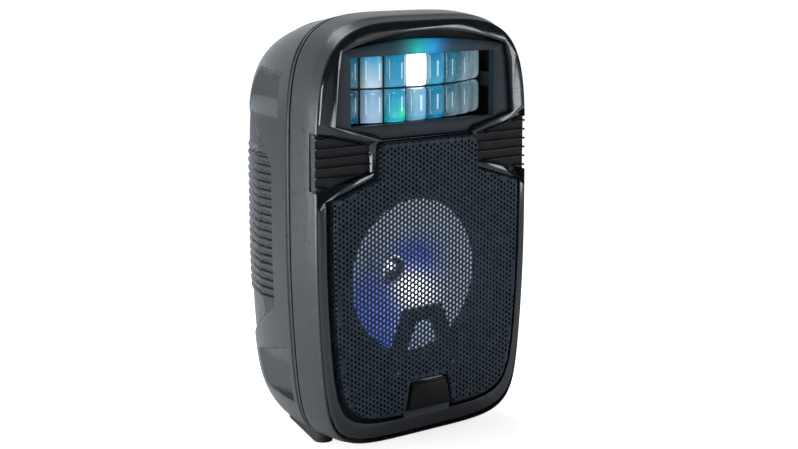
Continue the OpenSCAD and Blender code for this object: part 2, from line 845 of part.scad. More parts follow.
// Round cable through a list of points.
module cable(points, r) {
    for (i = [0:len(points) - 2]) {
        step = points[i + 1] - points[i];
        lean = acos(step[2] / norm(step));
        heading = atan2(step[1], step[0]);
        translate(points[i]) rotate([0, lean, heading]) cylinder(h = norm(step), r = r);
        if (i > 0) translate(points[i]) sphere(r = r + 0.2);
    }
}

module speaker_cable() {
    r = 1.6;
    color([0.6, 0.1, 0.1]) for (x = [-12, -6])
        cable([[x, y_at(board_d - r - 0.2), panel_z - 60], [x, y_at(board_d - 30), panel_z - 72],
            [x * 2, y_at(125), woofer_z - 60], [x * 2, y_at(100), woofer_z - 62],
            [x * 2, y_at(front_plate_d + 2), woofer_z - 52]], r);
}

// Two runners under the rear shell, drawn in towards the back as the shell is.
module rubber_feet() {
    color([0.03, 0.03, 0.03]) difference() {
        both_sides() hull() {
            for (place = [[80, 58], [58, 132]]) translate([place[0], y_at(place[1]), 0])
                cylinder(h = shell_bottom(place[1]) + 11, r1 = 9, r2 = 10);
        }
        rear_body(rear_start, 0);
    }
}

module shell_screws() {
    color([0.35, 0.35, 0.36]) for (p = screw_points) {
        rod(p[0], p[1], rear_start + 8, 3, 3.6);
        rod(p[0], p[1], plate_back + 10, rear_start + 9 - plate_back - 10, 1.5);
    }
}

// ---- Rear panel ----

module control_panel() {
    color([0.05, 0.05, 0.06]) difference() {
        union() {
            block(0, panel_z, panel_d, panel_w, panel_t, panel_h);
            both_sides() for (z = [-80, 80])
                rod(38, panel_z + z, board_d + board_t, panel_d - board_d - board_t + 1, 3);
        }
        both_sides() for (z = screw_row) rod(panel_screw_x, panel_z + z, panel_d - 1, 10, 1.7);
        block(0, panel_z + 76, panel_d - 1, 46, 10, 20);
        for (p = knob_points()) rod(p[0], p[1], panel_d - 1, 10, 3.6);
        for (i = [-2:2]) rod(i * button_pitch, button_row_z, panel_d - 1, 10, button_r + 0.1);
        block(-18, panel_z + 56, panel_d - 1, 13.4, 10, 6);
        block(20, panel_z + 56, panel_d - 1, 26.4, 10, 4);
        both_sides() rod(jack_x, jack_row_z, panel_d - 1, 10, 6.1);
        rod(0, jack_row_z, panel_d - 1, 10, 4.1);
        block(rocker_x, power_row_z, panel_d - 1, 18.2, 10, 26.2);
        rod(24, power_row_z, panel_d - 1, 10, 5.6);
    }
}

function knob_points() = [[0, knob_row_z], [-small_knob_x, knob_row_z + 4], [small_knob_x, knob_row_z + 4],
    [-small_knob_x, small_row_z], [small_knob_x, small_row_z]];

module display_window() {
    color([0.1, 0.02, 0.02]) block(0, panel_z + 76, panel_d + 0.5, 45.8, 2.4, 19.8);
}

// Knob with a pointer rib, a grip of shallow flutes and its stem.
module knob(place, r) {
    flutes = 18;
    cap_d = panel_d + panel_t + knob_gap;
    color([0.1, 0.1, 0.11]) union() {
        difference() {
            rod(place[0], place[1], cap_d, knob_t, r);
            for (a = [0:360 / flutes:359])
                rod(place[0] + (r + 0.5) * cos(a), place[1] + (r + 0.5) * sin(a),
                    cap_d + 3, knob_t, r * 0.09);
        }
        block(place[0], place[1] + r * 0.6, cap_d + knob_t - 0.5, 1.4, pointer_lift + 0.5, r * 0.7);
        rod(place[0], place[1], board_d + board_t + 2, cap_d - board_d - board_t - 1, stem_r);
    }
}

module volume_knob() {
    knob(knob_points()[0], volume_r);
}

module treble_knob() {
    knob(knob_points()[1], small_knob_r);
}

module bass_knob() {
    knob(knob_points()[2], small_knob_r);
}

module echo_knob() {
    knob(knob_points()[3], small_knob_r);
}

module mic_knob() {
    knob(knob_points()[4], small_knob_r);
}

module potentiometers() {
    color([0.5, 0.5, 0.45]) for (p = knob_points()) difference() {
        union() {
            rod(p[0], p[1], board_d + board_t, 8, 8);
            rod(p[0], p[1], board_d + board_t + 7, panel_d + 1 - board_d - board_t - 7, 3.5);
        }
        rod(p[0], p[1], board_d + board_t + 1.5, 40, stem_r + run_gap);
    }
}

// Button in the given place of the row; its flange stays behind the panel.
module push_button(index) {
    x = index * button_pitch;
    color([0.75, 0.75, 0.77]) union() {
        rod(x, button_row_z, panel_d - 2, panel_t + 4.2, button_r);
        rod(x, button_row_z, panel_d - 2, 1.5, button_r + 1);
    }
}

module mode_button() {
    push_button(-2);
}

module previous_button() {
    push_button(-1);
}

module play_button() {
    push_button(0);
}

module next_button() {
    push_button(1);
}

module light_button() {
    push_button(2);
}

module button_switches() {
    plunger_end = panel_d - 2 - button_travel - 0.1;
    color([0.3, 0.3, 0.3]) for (i = [-2:2]) union() {
        block(i * button_pitch, button_row_z, board_d + board_t, 6, 8, 6);
        rod(i * button_pitch, button_row_z, board_d + board_t + 7, plunger_end - board_d - board_t - 7, 1.7);
    }
}

// Rocker at rest in its off position; its pins turn in the frame.
module power_rocker() {
    color([0.7, 0.08, 0.06]) translate([rocker_x, y_at(rocker_d), power_row_z])
        rotate([rocker_tilt, 0, 0]) union() {
        translate([-7, 0, 0]) rotate([90, 0, 90]) linear_extrude(14)
            polygon([[-3, -6], [-3, 6], [1, 9.5], [7, 9.5], [5, 0], [7, -9.5], [1, -9.5]]);
        translate([-8.5, 0, 0]) rotate([0, 90, 0]) cylinder(h = 17, r = 1.5);
    }
}

module rocker_frame() {
    color([0.04, 0.04, 0.04]) difference() {
        union() {
            block(rocker_x, power_row_z, panel_d + panel_t, 22, 1.5, 30);
            block(rocker_x, power_row_z, panel_d - 12, 18, 12 + panel_t + 0.5, 26);
        }
        block(rocker_x, power_row_z, panel_d - 9, 14.2, 30, 22.4);
        translate([rocker_x - 8.6, y_at(rocker_d), power_row_z]) rotate([0, 90, 0])
            cylinder(h = 17.2, r = 1.5 + run_gap);
    }
}

module usb_port() {
    color([0.75, 0.75, 0.77]) difference() {
        block(-18, panel_z + 56, board_d + board_t, 13.2, panel_d + panel_t - board_d - board_t + 0.5, 5.8);
        block(-18, panel_z + 56, panel_d - 10, 12.4, 20, 5);
    }
}

module card_slot() {
    color([0.2, 0.2, 0.2]) difference() {
        block(20, panel_z + 56, board_d + board_t, 26, panel_d + panel_t - board_d - board_t + 0.5, 3.8);
        block(20, panel_z + 56, panel_d - 16, 24.4, 30, 2.6);
    }
}

// Panel socket: body behind the panel, collar in front, blind bore.
module socket(x, z, body_r, collar_r, bore_r) {
    difference() {
        union() {
            rod(x, z, board_d + board_t, panel_d + panel_t - board_d - board_t, body_r);
            rod(x, z, panel_d + panel_t, 1.8, collar_r);
        }
        rod(x, z, board_d + board_t + 2, 60, bore_r);
    }
}

module mic_jacks() {
    color([0.2, 0.2, 0.21]) both_sides() socket(jack_x, jack_row_z, 6, 8, 3.25);
}

module line_jack() {
    color([0.2, 0.2, 0.21]) socket(0, jack_row_z, 4, 5.5, 1.8);
}

module charge_socket() {
    color([0.1, 0.1, 0.1]) union() {
        socket(24, power_row_z, 5.5, 7, 2.75);
        rod(24, power_row_z, board_d + board_t + 1, panel_d - board_d, 1);
    }
}

module panel_screws() {
    color([0.35, 0.35, 0.36]) both_sides() for (z = screw_row) {
        rod(panel_screw_x, panel_z + z, panel_d + panel_t, 2, 3);
        rod(panel_screw_x, panel_z + z, body_d - 10, 10 + panel_t + 1, 1.5);
    }
}

rear_shell();
front_shell();
seam_gasket();
front_bezel();
louvre_left();
louvre_right();
grille();
badge();
window_panel();
lens_carrier();
lenses();
swing_bracket();
swing_motor();
swing_shaft();
lamp_carriage();
lamp_board();
lamp_emitters();
led_bridge();
bridge_lights();
woofer_basket();
woofer_front_plate();
woofer_magnet();
woofer_back_plate();
voice_coil();
woofer_cone();
dust_cap();
surround();
spider();
woofer_screws();
carry_handle();
control_panel();
display_window();
volume_knob();
treble_knob();
bass_knob();
echo_knob();
mic_knob();
potentiometers();
mode_button();
previous_button();
play_button();
next_button();
light_button();
button_switches();
power_rocker();
rocker_frame();
usb_port();
card_slot();
mic_jacks();
line_jack();
charge_socket();
amp_board();
heat_sink();
battery();
battery_strap();
inner_screws();
rubber_feet();
shell_screws();
panel_screws();
speaker_cable();
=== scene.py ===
"""Looks of the party speaker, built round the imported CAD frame.

Shapes are worked out in millimetres as (x, depth behind the front rim, z). They become metres when a mesh is
made.
"""
import bpy
import bmesh
import math
import numpy as np
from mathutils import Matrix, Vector
from mathutils.geometry import delaunay_2d_cdt


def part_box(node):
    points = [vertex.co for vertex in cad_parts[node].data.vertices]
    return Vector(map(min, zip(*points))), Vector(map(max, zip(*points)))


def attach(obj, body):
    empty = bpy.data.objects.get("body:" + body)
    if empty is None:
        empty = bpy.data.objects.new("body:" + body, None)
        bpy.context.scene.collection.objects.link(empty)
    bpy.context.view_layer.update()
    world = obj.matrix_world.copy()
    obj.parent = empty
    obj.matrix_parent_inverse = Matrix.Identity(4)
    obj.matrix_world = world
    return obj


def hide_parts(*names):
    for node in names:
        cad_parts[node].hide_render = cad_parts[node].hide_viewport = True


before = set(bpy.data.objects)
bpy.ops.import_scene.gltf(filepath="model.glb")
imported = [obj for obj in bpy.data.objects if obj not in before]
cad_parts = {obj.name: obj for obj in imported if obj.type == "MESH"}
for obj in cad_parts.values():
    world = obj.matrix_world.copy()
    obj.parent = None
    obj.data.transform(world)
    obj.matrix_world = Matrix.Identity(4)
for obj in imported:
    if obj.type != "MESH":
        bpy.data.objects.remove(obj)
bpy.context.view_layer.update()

MM = 0.001


def box_mm(node):
    """Lowest and highest corner of a CAD node in millimetres."""
    low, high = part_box(node)
    return low / MM, high / MM


# ---- Sizes taken from the frame ----

gasket_low = box_mm("seam_gasket")[0]
front_low, front_high = box_mm("front_shell")
rear_high = box_mm("rear_shell")[1]
lens_low, lens_high = box_mm("lenses")
window_low = box_mm("window_panel")[0]
cone_low, cone_high = box_mm("woofer_cone")
handle_low, handle_high = box_mm("carry_handle")

GASKET_D = 42
BEZEL_D = 12
RIM_Y = gasket_low.y - GASKET_D
SEAM_D = GASKET_D + 1
FOOT_DROP = front_low.z
BODY_TOP = front_high.z
HALF_W = front_high.x
BODY_D = rear_high.y - RIM_Y
WINDOW_Z = (lens_low.z + lens_high.z) / 2
WINDOW_HALF_W, WINDOW_HALF_H = 84, 31
WOOFER_Z = (cone_low.z + cone_high.z) / 2
OPENING_R = 88
LOUVRE_Z = WINDOW_Z - 60.5
NOTCH_X, NOTCH_INNER_HALF_H, NOTCH_OUTER_HALF_H = 64, 12, 26
RIM_HALF_W = HALF_W - 0.9
RIM_TOP = BODY_TOP - 7.5
LIP_BOTTOM = FOOT_DROP + 2.5
LIP_D = 1.8
HANDLE_D = (handle_low.y + handle_high.y) / 2 - RIM_Y
HANDLE_Z = (handle_low.z + handle_high.z) / 2
POCKET_HALF_W, POCKET_HALF_D, POCKET_CORNER = 58, 21, 8
PANEL_Z = FOOT_DROP + 182
PANEL_FACE_D = BODY_D + 2.5
PRINT_LIFT = 0.12

# How far the sides, the top and the bottom of the rear shell draw in: evenly, and mostly near the rear face.
SIDE_TAPER, SIDE_ROUND = 18, 42
TOP_TAPER, TOP_ROUND = 26, 31
BOTTOM_ROUND = 45

# Body outline: a bulged superellipse, squarer at the bottom than at the top.
TOP_ARCH, TOP_CORNER = 4.1, 6
BOTTOM_ARCH, BOTTOM_CORNER = 4.8, 13
TOP_BULGE, BOTTOM_BULGE = 0.015, 0.115


def bulge(v):
    return 1 - np.where(v < 0, BOTTOM_BULGE, TOP_BULGE) * v * v


def outline(shares, half_w, bottom, top):
    """Points (x, z) of the body outline from shares (u, v) of its half-width and half-height."""
    u, v = shares[:, 0], shares[:, 1]
    return np.stack([u * half_w * bulge(v), (top + bottom) / 2 + v * (top - bottom) / 2], 1)


def half_outline(steps):
    """Finely spaced shares (u, v) from the bottom's middle up the right side to the top's middle."""
    low_turn, high_turn = -0.95, 0.9
    low_u = np.linspace(0, (1 - abs(low_turn) ** BOTTOM_CORNER) ** (1 / BOTTOM_ARCH), steps)
    high_u = np.linspace((1 - high_turn ** TOP_CORNER) ** (1 / TOP_ARCH), 0, steps)
    side_v = np.linspace(low_turn, high_turn, 2 * steps)[1:-1]
    u = np.concatenate([low_u, side_u(side_v), high_u])
    v = np.concatenate([-(1 - low_u ** BOTTOM_ARCH) ** (1 / BOTTOM_CORNER), side_v,
                        (1 - high_u ** TOP_ARCH) ** (1 / TOP_CORNER)])
    return u, v


def side_u(v):
    """Share of the half-width that belongs to the height share v."""
    arch = np.where(v < 0, BOTTOM_ARCH, TOP_ARCH)
    corner = np.where(v < 0, BOTTOM_CORNER, TOP_CORNER)
    return (1 - np.abs(v) ** corner) ** (1 / arch)


def outline_shares(count, density=None, extra=()):
    """Shares spread along the whole outline, closer where density(x, z) is higher, plus extra heights."""
    fine_steps = 3000
    u, v = half_outline(fine_steps)
    points = outline(np.stack([u, v], 1), HALF_W, FOOT_DROP, BODY_TOP)
    steps = np.hypot(*np.diff(points, axis=0).T)
    if density is not None:
        middle = (points[1:] + points[:-1]) / 2
        steps = steps * density(middle[:, 0], middle[:, 1])
    along = np.concatenate([[0], np.cumsum(steps)])
    places = np.linspace(0, along[-1], count // 2 + 1)
    for height in extra:
        places = np.append(places, np.interp(height, v, along))
    places = np.sort(places)
    right = np.stack([np.interp(places, along, u), np.interp(places, along, v)], 1)
    left = right[-2:0:-1] * np.array([-1, 1])
    return np.concatenate([right, left])


def taper(d):
    return np.maximum(0, (d - SEAM_D) / (BODY_D - SEAM_D))


def shell_half_w(d):
    return HALF_W - SIDE_TAPER * taper(d) - SIDE_ROUND * taper(d) ** 3


def shell_top(d):
    return BODY_TOP - TOP_TAPER * taper(d) - TOP_ROUND * taper(d) ** 3


def shell_bottom(d):
    return FOOT_DROP + BOTTOM_ROUND * taper(d) ** 3


def top_height(x, d):
    """Height of the shell's top surface at distance x from the middle."""
    u = np.minimum(np.abs(x) / (shell_half_w(d) * (1 - TOP_BULGE)), 0.999)
    v = (1 - u ** TOP_ARCH) ** (1 / TOP_CORNER)
    return (shell_top(d) + shell_bottom(d)) / 2 + v * (shell_top(d) - shell_bottom(d)) / 2


# ---- Making meshes ----

def add_to_scene(name, data):
    obj = bpy.data.objects.new(name, data)
    bpy.context.scene.collection.objects.link(obj)
    return obj


def add_wall(obj, thickness):
    """Gives a skin its wall, inwards."""
    wall = obj.modifiers.new("wall", "SOLIDIFY")
    wall.thickness = thickness * MM
    wall.offset = -1


def make_object(name, points, faces, material, smooth=35):
    """Mesh object from points in millimetres (x, depth, z). It rides on the housing."""
    mesh = bpy.data.meshes.new(name)
    places = np.array(points, float).reshape(-1, 3) * MM
    places[:, 1] += RIM_Y * MM
    mesh.from_pydata([tuple(p) for p in places], [], [tuple(f) for f in faces])
    mesh.validate()
    obj = add_to_scene(name, mesh)
    finish_mesh(obj, material, smooth)
    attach(obj, "housing")
    return obj


def finish_mesh(obj, material, smooth=35):
    """Recalculates the normals, sets the material and smooth shading up to an angle."""
    work = bmesh.new()
    work.from_mesh(obj.data)
    bmesh.ops.recalc_face_normals(work, faces=work.faces)
    work.to_mesh(obj.data)
    work.free()
    obj.data.materials.clear()
    obj.data.materials.append(material)
    obj.data.shade_smooth()
    obj.data.set_sharp_from_angle(angle=math.radians(smooth))


def ring_faces(rings, count):
    """Quads between consecutive closed rings of count points each."""
    faces = []
    for r in range(rings - 1):
        for i in range(count):
            a, b = r * count + i, r * count + (i + 1) % count
            faces.append((a, b, b + count, a + count))
    return faces


def loft(name, rings, material, caps=(False, False), around=False, smooth=35):
    """Skin over closed rings of equal length; around joins the last ring to the first."""
    count = len(rings[0])
    points = np.concatenate(rings)
    faces = ring_faces(len(rings), count)
    if around:
        last = (len(rings) - 1) * count
        faces += [(last + i, last + (i + 1) % count, (i + 1) % count, i) for i in range(count)]
    if caps[0]:
        faces.append(tuple(range(count)))
    if caps[1]:
        faces.append(tuple(range(len(points) - count, len(points))))
    return make_object(name, points, faces, material, smooth)


def deep(outline_points, d):
    """Adds the depth d to (x, z) points."""
    flat = np.asarray(outline_points, float)
    return np.stack([flat[:, 0], np.broadcast_to(d, len(flat)), flat[:, 1]], 1)


def rounded_copy(node, name, width, segments, material, angle=30, smooth=40):
    """Copy of a CAD node with rounded edges, shown in its place."""
    work = bmesh.new()
    work.from_mesh(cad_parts[node].data)
    bmesh.ops.remove_doubles(work, verts=work.verts, dist=0.01 * MM)
    bmesh.ops.dissolve_limit(work, angle_limit=math.radians(1), verts=work.verts, edges=work.edges)
    sharp = [e for e in work.edges if len(e.link_faces) == 2 and e.calc_face_angle(0) > math.radians(angle)]
    bmesh.ops.bevel(work, geom=sharp, offset=width * MM, offset_type="OFFSET", segments=segments, profile=0.5,
                    affect="EDGES", clamp_overlap=True)
    mesh = bpy.data.meshes.new(name)
    work.to_mesh(mesh)
    work.free()
    obj = add_to_scene(name, mesh)
    finish_mesh(obj, material, smooth)
    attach(obj, "housing")
    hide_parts(node)


# ---- Materials ----

class Shader:
    """A node material with a few short ways to add and join nodes."""

    def __init__(self, name):
        self.material = bpy.data.materials.new(name)
        self.material.use_nodes = True
        self.tree = self.material.node_tree
        self.main = self.tree.nodes["Principled BSDF"]
        self.place = self.add("ShaderNodeTexCoord").outputs["Object"]

    def add(self, kind, **values):
        node = self.tree.nodes.new(kind)
        for key, value in values.items():
            setattr(node, key, value)
        return node

    def join(self, output, target):
        self.tree.links.new(output, target)

    def set(self, **values):
        for key, value in values.items():
            self.main.inputs[key.replace("_", " ")].default_value = value

    def tone(self, color):
        self.join(color, self.main.inputs["Base Color"])

    def roughness(self, value):
        self.join(value, self.main.inputs["Roughness"])

    def relief(self, normal):
        self.join(normal, self.main.inputs["Normal"])

    def noise(self, scale, detail=3, stretch=(1, 1, 1), distortion=0.0):
        mapping = self.add("ShaderNodeMapping")
        mapping.inputs["Scale"].default_value = stretch
        self.join(self.place, mapping.inputs["Vector"])
        node = self.add("ShaderNodeTexNoise")
        node.inputs["Scale"].default_value = scale
        node.inputs["Detail"].default_value = detail
        node.inputs["Distortion"].default_value = distortion
        self.join(mapping.outputs["Vector"], node.inputs["Vector"])
        return node.outputs["Fac"]

    def ramp(self, value, low, high, from_low=0.0, from_high=1.0):
        node = self.add("ShaderNodeMapRange")
        limits = {"From Min": from_low, "From Max": from_high, "To Min": low, "To Max": high}
        for key, number in limits.items():
            node.inputs[key].default_value = number
        self.join(value, node.inputs["Value"])
        return node.outputs["Result"]

    def mix(self, factor, first, second, mode="MIX"):
        node = self.add("ShaderNodeMix", data_type="RGBA", blend_type=mode)
        self.feed(factor, node.inputs[0])
        self.feed(first, node.inputs[6])
        self.feed(second, node.inputs[7])
        return node.outputs[2]

    def math(self, kind, first, second=0.0):
        node = self.add("ShaderNodeMath", operation=kind)
        self.feed(first, node.inputs[0])
        self.feed(second, node.inputs[1])
        return node.outputs[0]

    def feed(self, value, target):
        if isinstance(value, bpy.types.NodeSocket):
            self.join(value, target)
        elif isinstance(value, tuple) and len(value) == 3:
            target.default_value = (*value, 1)
        else:
            target.default_value = value

    def bump(self, height, distance, strength=1.0, base=None):
        node = self.add("ShaderNodeBump")
        node.inputs["Distance"].default_value = distance * MM
        node.inputs["Strength"].default_value = strength
        self.join(height, node.inputs["Height"])
        if base is not None:
            self.join(base, node.inputs["Normal"])
        return node.outputs["Normal"]

    def painted_edge_highlight(self, color, highlight_color, low=0.53, high=0.6, amount=0.5):
        """Painted highlight: lightens convex edges, unevenly, as if they caught the light."""
        point = self.add("ShaderNodeNewGeometry").outputs["Pointiness"]
        edge = self.ramp(point, 0.0, amount, low, high)
        patchy = self.math("MULTIPLY", edge, self.ramp(self.noise(90), 0.2, 1.0, 0.35, 0.65))
        return self.mix(patchy, color, highlight_color)

    def glow(self, color, strength):
        self.feed(color, self.main.inputs["Emission Color"])
        self.feed(strength, self.main.inputs["Emission Strength"])


def moulded(name, color, rough, grain, grain_scale, mottle, metallic=0.0, coat=0.0, edge=None):
    """Moulded or painted surface: fine grain, uneven roughness and faint colour mottle; an edge colour adds a
    painted highlight along convex edges.
    """
    shader = Shader(name)
    shader.set(Metallic=metallic, Coat_Weight=coat, Coat_Roughness=0.06, IOR=1.5)
    dark = tuple(c * (1 - mottle) for c in color)
    light = tuple(c * (1 + mottle) for c in color)
    tone = shader.mix(shader.noise(38, 4), dark, light)
    # Painted highlight: convex edges are lightened towards the edge colour.
    if edge is not None:
        tone = shader.painted_edge_highlight(tone, edge)
    shader.tone(tone)
    spread = shader.ramp(shader.noise(120, 5), rough * 0.88, rough * 1.12, 0.3, 0.7)
    shader.roughness(spread)
    shader.relief(shader.bump(shader.noise(grain_scale, 2), grain, 0.6))
    return shader.material


def gloss_plastic():
    """Piano black with a faint orange-peel and hairline scuffs."""
    shader = Shader("gloss_black")
    shader.set(Coat_Weight=0.6, Coat_Roughness=0.03, IOR=1.5)
    shader.tone(shader.mix(shader.noise(30), (0.006, 0.008, 0.011), (0.010, 0.013, 0.018)))
    scuff = shader.ramp(shader.noise(60, 6, (1, 1, 14)), 0.1, 0.22, 0.45, 0.7)
    shader.roughness(scuff)
    shader.relief(shader.bump(shader.noise(160, 1), 0.03, 0.35))
    return shader.material


def coated_steel():
    """Dark powder coat on the perforated sheet, with a painted highlight along its edges."""
    shader = Shader("grille_coat")
    tone = shader.mix(shader.noise(25, 3), (0.008, 0.015, 0.023), (0.012, 0.020, 0.030))
    # Painted highlight along the edges of the holes and the fold.
    shader.tone(shader.painted_edge_highlight(tone, (0.10, 0.13, 0.16), 0.54, 0.66, 0.5))
    shader.set(Metallic=0.1, Coat_Weight=0.1, Coat_Roughness=0.25, Specular_IOR_Level=0.42,
               Specular_Tint=(0.7, 0.86, 1.0, 1))
    shader.roughness(shader.ramp(shader.noise(200, 4), 0.36, 0.5, 0.3, 0.7))
    shader.relief(shader.bump(shader.noise(2600, 2), 0.03, 0.5))
    return shader.material


def distance_from(shader, x, z):
    """Distance in metres, seen from the front, from a place given in millimetres."""
    parts = shader.add("ShaderNodeSeparateXYZ")
    shader.join(shader.place, parts.inputs[0])
    dx = shader.math("SUBTRACT", parts.outputs["X"], x * MM)
    dz = shader.math("SUBTRACT", parts.outputs["Z"], z * MM)
    square = shader.math("ADD", shader.math("MULTIPLY", dx, dx), shader.math("MULTIPLY", dz, dz))
    return shader.math("SQRT", square)


def spot(shader, x, z, radius):
    """Soft round patch: 1 in the middle, 0 from radius outwards."""
    far = shader.math("DIVIDE", distance_from(shader, x, z), radius * MM)
    near = shader.math("MAXIMUM", shader.math("SUBTRACT", 1.0, far), 0.0)
    return shader.math("MULTIPLY", near, near)


def cone_paper_with_painted_light():
    """Silver-grey pressed paper with painted light: glowing blue and white pools stand in for the light of
    the bridge lights in front of it, and a painted shade dims its upper left.
    """
    shader = Shader("cone_paper")
    paper = shader.mix(shader.noise(420, 5), (0.22, 0.24, 0.27), (0.32, 0.34, 0.38))
    shader.tone(paper)
    shader.set(Roughness=0.55, Sheen_Weight=0.2)
    # Painted light: glowing blue pools low at the left and high at the right, and a white pool below the cap.
    light = (0.42, 0.5, 0.6)
    painted_blue_low = shader.math("MULTIPLY", spot(shader, -44, WOOFER_Z - 36, 84), 2.4)
    light = shader.mix(painted_blue_low, light, (0.04, 0.10, 0.95))
    painted_blue_high = shader.math("MULTIPLY", spot(shader, 20, WOOFER_Z + 8, 46), 2.2)
    light = shader.mix(painted_blue_high, light, (0.05, 0.10, 0.9))
    white = shader.math("MULTIPLY", spot(shader, 20, WOOFER_Z - 22, 36), 2.0)
    light = shader.mix(white, light, (1.0, 1.0, 1.0))
    # Painted shade over the upper left; the painted glow is strongest at the white pool.
    painted_shade = shader.math("SUBTRACT", 1.0, shader.math("MULTIPLY", spot(shader, -36, WOOFER_Z + 12, 60), 0.7))
    bright = shader.math("MULTIPLY_ADD", spot(shader, 20, WOOFER_Z - 20, 40), 2.4)
    bright.node.inputs[2].default_value = 0.75
    shader.glow(light, shader.math("MULTIPLY", bright, painted_shade))
    rings = shader.ramp(distance_from(shader, 0, WOOFER_Z), 0, 900, 0, 1)
    waves = shader.math("SINE", rings)
    shader.relief(shader.bump(waves, 0.12, 0.4, shader.bump(shader.noise(900, 4), 0.05, 0.6)))
    return shader.material


def dust_cap_with_painted_glints():
    """Gloss black cap with painted reflections of the bridge lights: small bright spots that glow."""
    shader = Shader("cap_gloss")
    shader.tone(shader.mix(shader.noise(700, 4), (0.016, 0.018, 0.022), (0.024, 0.026, 0.03)))
    shader.set(Roughness=0.14, Coat_Weight=0.8)
    # Painted reflections: a broken glowing ring near the cap's edge and a glowing spot at its upper left.
    far = distance_from(shader, 0, WOOFER_Z)
    inner_edge = shader.ramp(far, 0, 1, 11.5 * MM, 13 * MM)
    rim = shader.math("MULTIPLY", inner_edge, shader.ramp(far, 1, 0, 13.5 * MM, 15 * MM))
    rim = shader.math("MULTIPLY", rim, shader.ramp(shader.noise(90, 2), 0, 1.6, 0.45, 0.6))
    painted_glint = shader.math("MULTIPLY", spot(shader, -7, WOOFER_Z + 5, 8), 5.0)
    shader.glow((0.8, 0.88, 1.0), shader.math("ADD", rim, painted_glint))
    shader.relief(shader.bump(shader.noise(500, 2), 0.03, 0.4))
    return shader.material


def badge_plastic():
    """Near-black plate with a fine satin grain."""
    shader = Shader("badge_plastic")
    shader.tone(shader.mix(shader.noise(90, 3), (0.004, 0.004, 0.005), (0.007, 0.007, 0.008)))
    shader.set(Specular_IOR_Level=0.2)
    shader.roughness(shader.ramp(shader.noise(300, 4), 0.3, 0.42, 0.3, 0.7))
    shader.relief(shader.bump(shader.noise(2200, 2), 0.02, 0.4))
    return shader.material


def lens_glass():
    """Clear pillow lens with a painted glow of coloured light, with painted glints and streaks; the colour
    comes from the mesh.
    """
    shader = Shader("lens_glass")
    tint = shader.add("ShaderNodeAttribute", attribute_name="glow").outputs["Color"]
    streak = shader.noise(70, 3, (1, 1, 0.35), 1.2)
    # Painted glints and streaks in the glass.
    painted_sparkle = shader.ramp(shader.noise(240, 2, (1, 1, 0.6), 2.0), 0.0, 1.0, 0.62, 0.74)
    body = shader.mix(shader.ramp(streak, 0, 0.45, 0.46, 0.7), tint, (0.6, 0.85, 0.95), "SCREEN")
    streaked = shader.mix(shader.ramp(streak, 0.0, 0.5, 0.45, 0.7), tint, body)
    shader.glow(shader.mix(shader.math("MULTIPLY", painted_sparkle, 0.25), streaked, (0.7, 0.92, 1.0)), 0.8)
    shader.set(Base_Color=(0.05, 0.16, 0.2, 1), Roughness=0.05, Coat_Weight=1.0, Coat_Roughness=0.02, IOR=1.5)
    shader.relief(shader.bump(shader.noise(120, 2), 0.15, 0.3))
    return shader.material


def window_plastic():
    """Satin slate panel with painted light: a cyan, green and blue glow spilt over its top from the hottest
    lens.
    """
    shader = Shader("window_plastic")
    tone = shader.mix(shader.noise(60, 4), (0.020, 0.030, 0.042), (0.028, 0.040, 0.055))
    shader.tone(tone)
    shader.set(Roughness=0.42)
    # Painted light: glowing patches along the panel's top.
    top = WINDOW_Z + 34
    glow = shader.mix(spot(shader, -8, top, 30), (0.0, 0.0, 0.0), (0.0, 0.42, 0.34))
    glow = shader.mix(spot(shader, 10, top + 2, 26), glow, (0.0, 0.2, 0.6), "ADD")
    glow = shader.mix(spot(shader, 0, top, 80), glow, (0.0, 0.06, 0.1), "ADD")
    shader.glow(glow, 1.0)
    shader.relief(shader.bump(shader.noise(1700, 2), 0.03, 0.5))
    return shader.material


def lamp_light(name, color, strength):
    """Lit lamp: bright middle, uneven rim."""
    shader = Shader(name)
    shader.set(Roughness=0.3, Base_Color=(0.7, 0.75, 0.8, 1))
    shader.glow(shader.mix(shader.noise(300, 2), color, (1.0, 1.0, 1.0)), strength)
    return shader.material


def machined(name, color, rough):
    """Bright metal with turned or rolled lines."""
    shader = Shader(name)
    shader.set(Metallic=1.0)
    shader.tone(shader.mix(shader.noise(60, 4), tuple(c * 0.85 for c in color), color))
    shader.roughness(shader.ramp(shader.noise(500, 3, (1, 8, 1)), rough * 0.7, rough * 1.3))
    shader.relief(shader.bump(shader.noise(900, 3, (1, 10, 1)), 0.02, 0.4))
    return shader.material


def circuit_board():
    """Solder mask with faint tracks."""
    shader = Shader("circuit_board")
    cells = shader.add("ShaderNodeTexVoronoi", distance="MANHATTAN", feature="F1")
    cells.inputs["Scale"].default_value = 260
    shader.join(shader.place, cells.inputs["Vector"])
    track = shader.ramp(cells.outputs["Distance"], 1, 0, 0.1, 0.18)
    shader.tone(shader.mix(track, (0.01, 0.09, 0.04), (0.03, 0.2, 0.1)))
    shader.set(Roughness=0.35, Coat_Weight=0.3)
    return shader.material


def display_glass():
    """Tinted window of the rear display."""
    shader = Shader("display_tint")
    shader.tone(shader.mix(shader.noise(80), (0.012, 0.006, 0.008), (0.02, 0.01, 0.012)))
    shader.roughness(shader.ramp(shader.noise(40, 4), 0.04, 0.1))
    shader.set(Coat_Weight=1.0)
    return shader.material


def print_ink():
    """Pale silk-screen print."""
    shader = Shader("print_ink")
    shader.tone(shader.mix(shader.noise(900, 3), (0.55, 0.56, 0.57), (0.72, 0.73, 0.74)))
    shader.set(Roughness=0.6)
    return shader.material


def lit_segment():
    """Red display segment."""
    shader = Shader("lit_segment")
    shader.set(Base_Color=(0.3, 0.02, 0.01, 1), Roughness=0.4)
    shader.glow(shader.mix(shader.noise(500), (1.0, 0.05, 0.02), (1.0, 0.16, 0.06)), 3.0)
    return shader.material


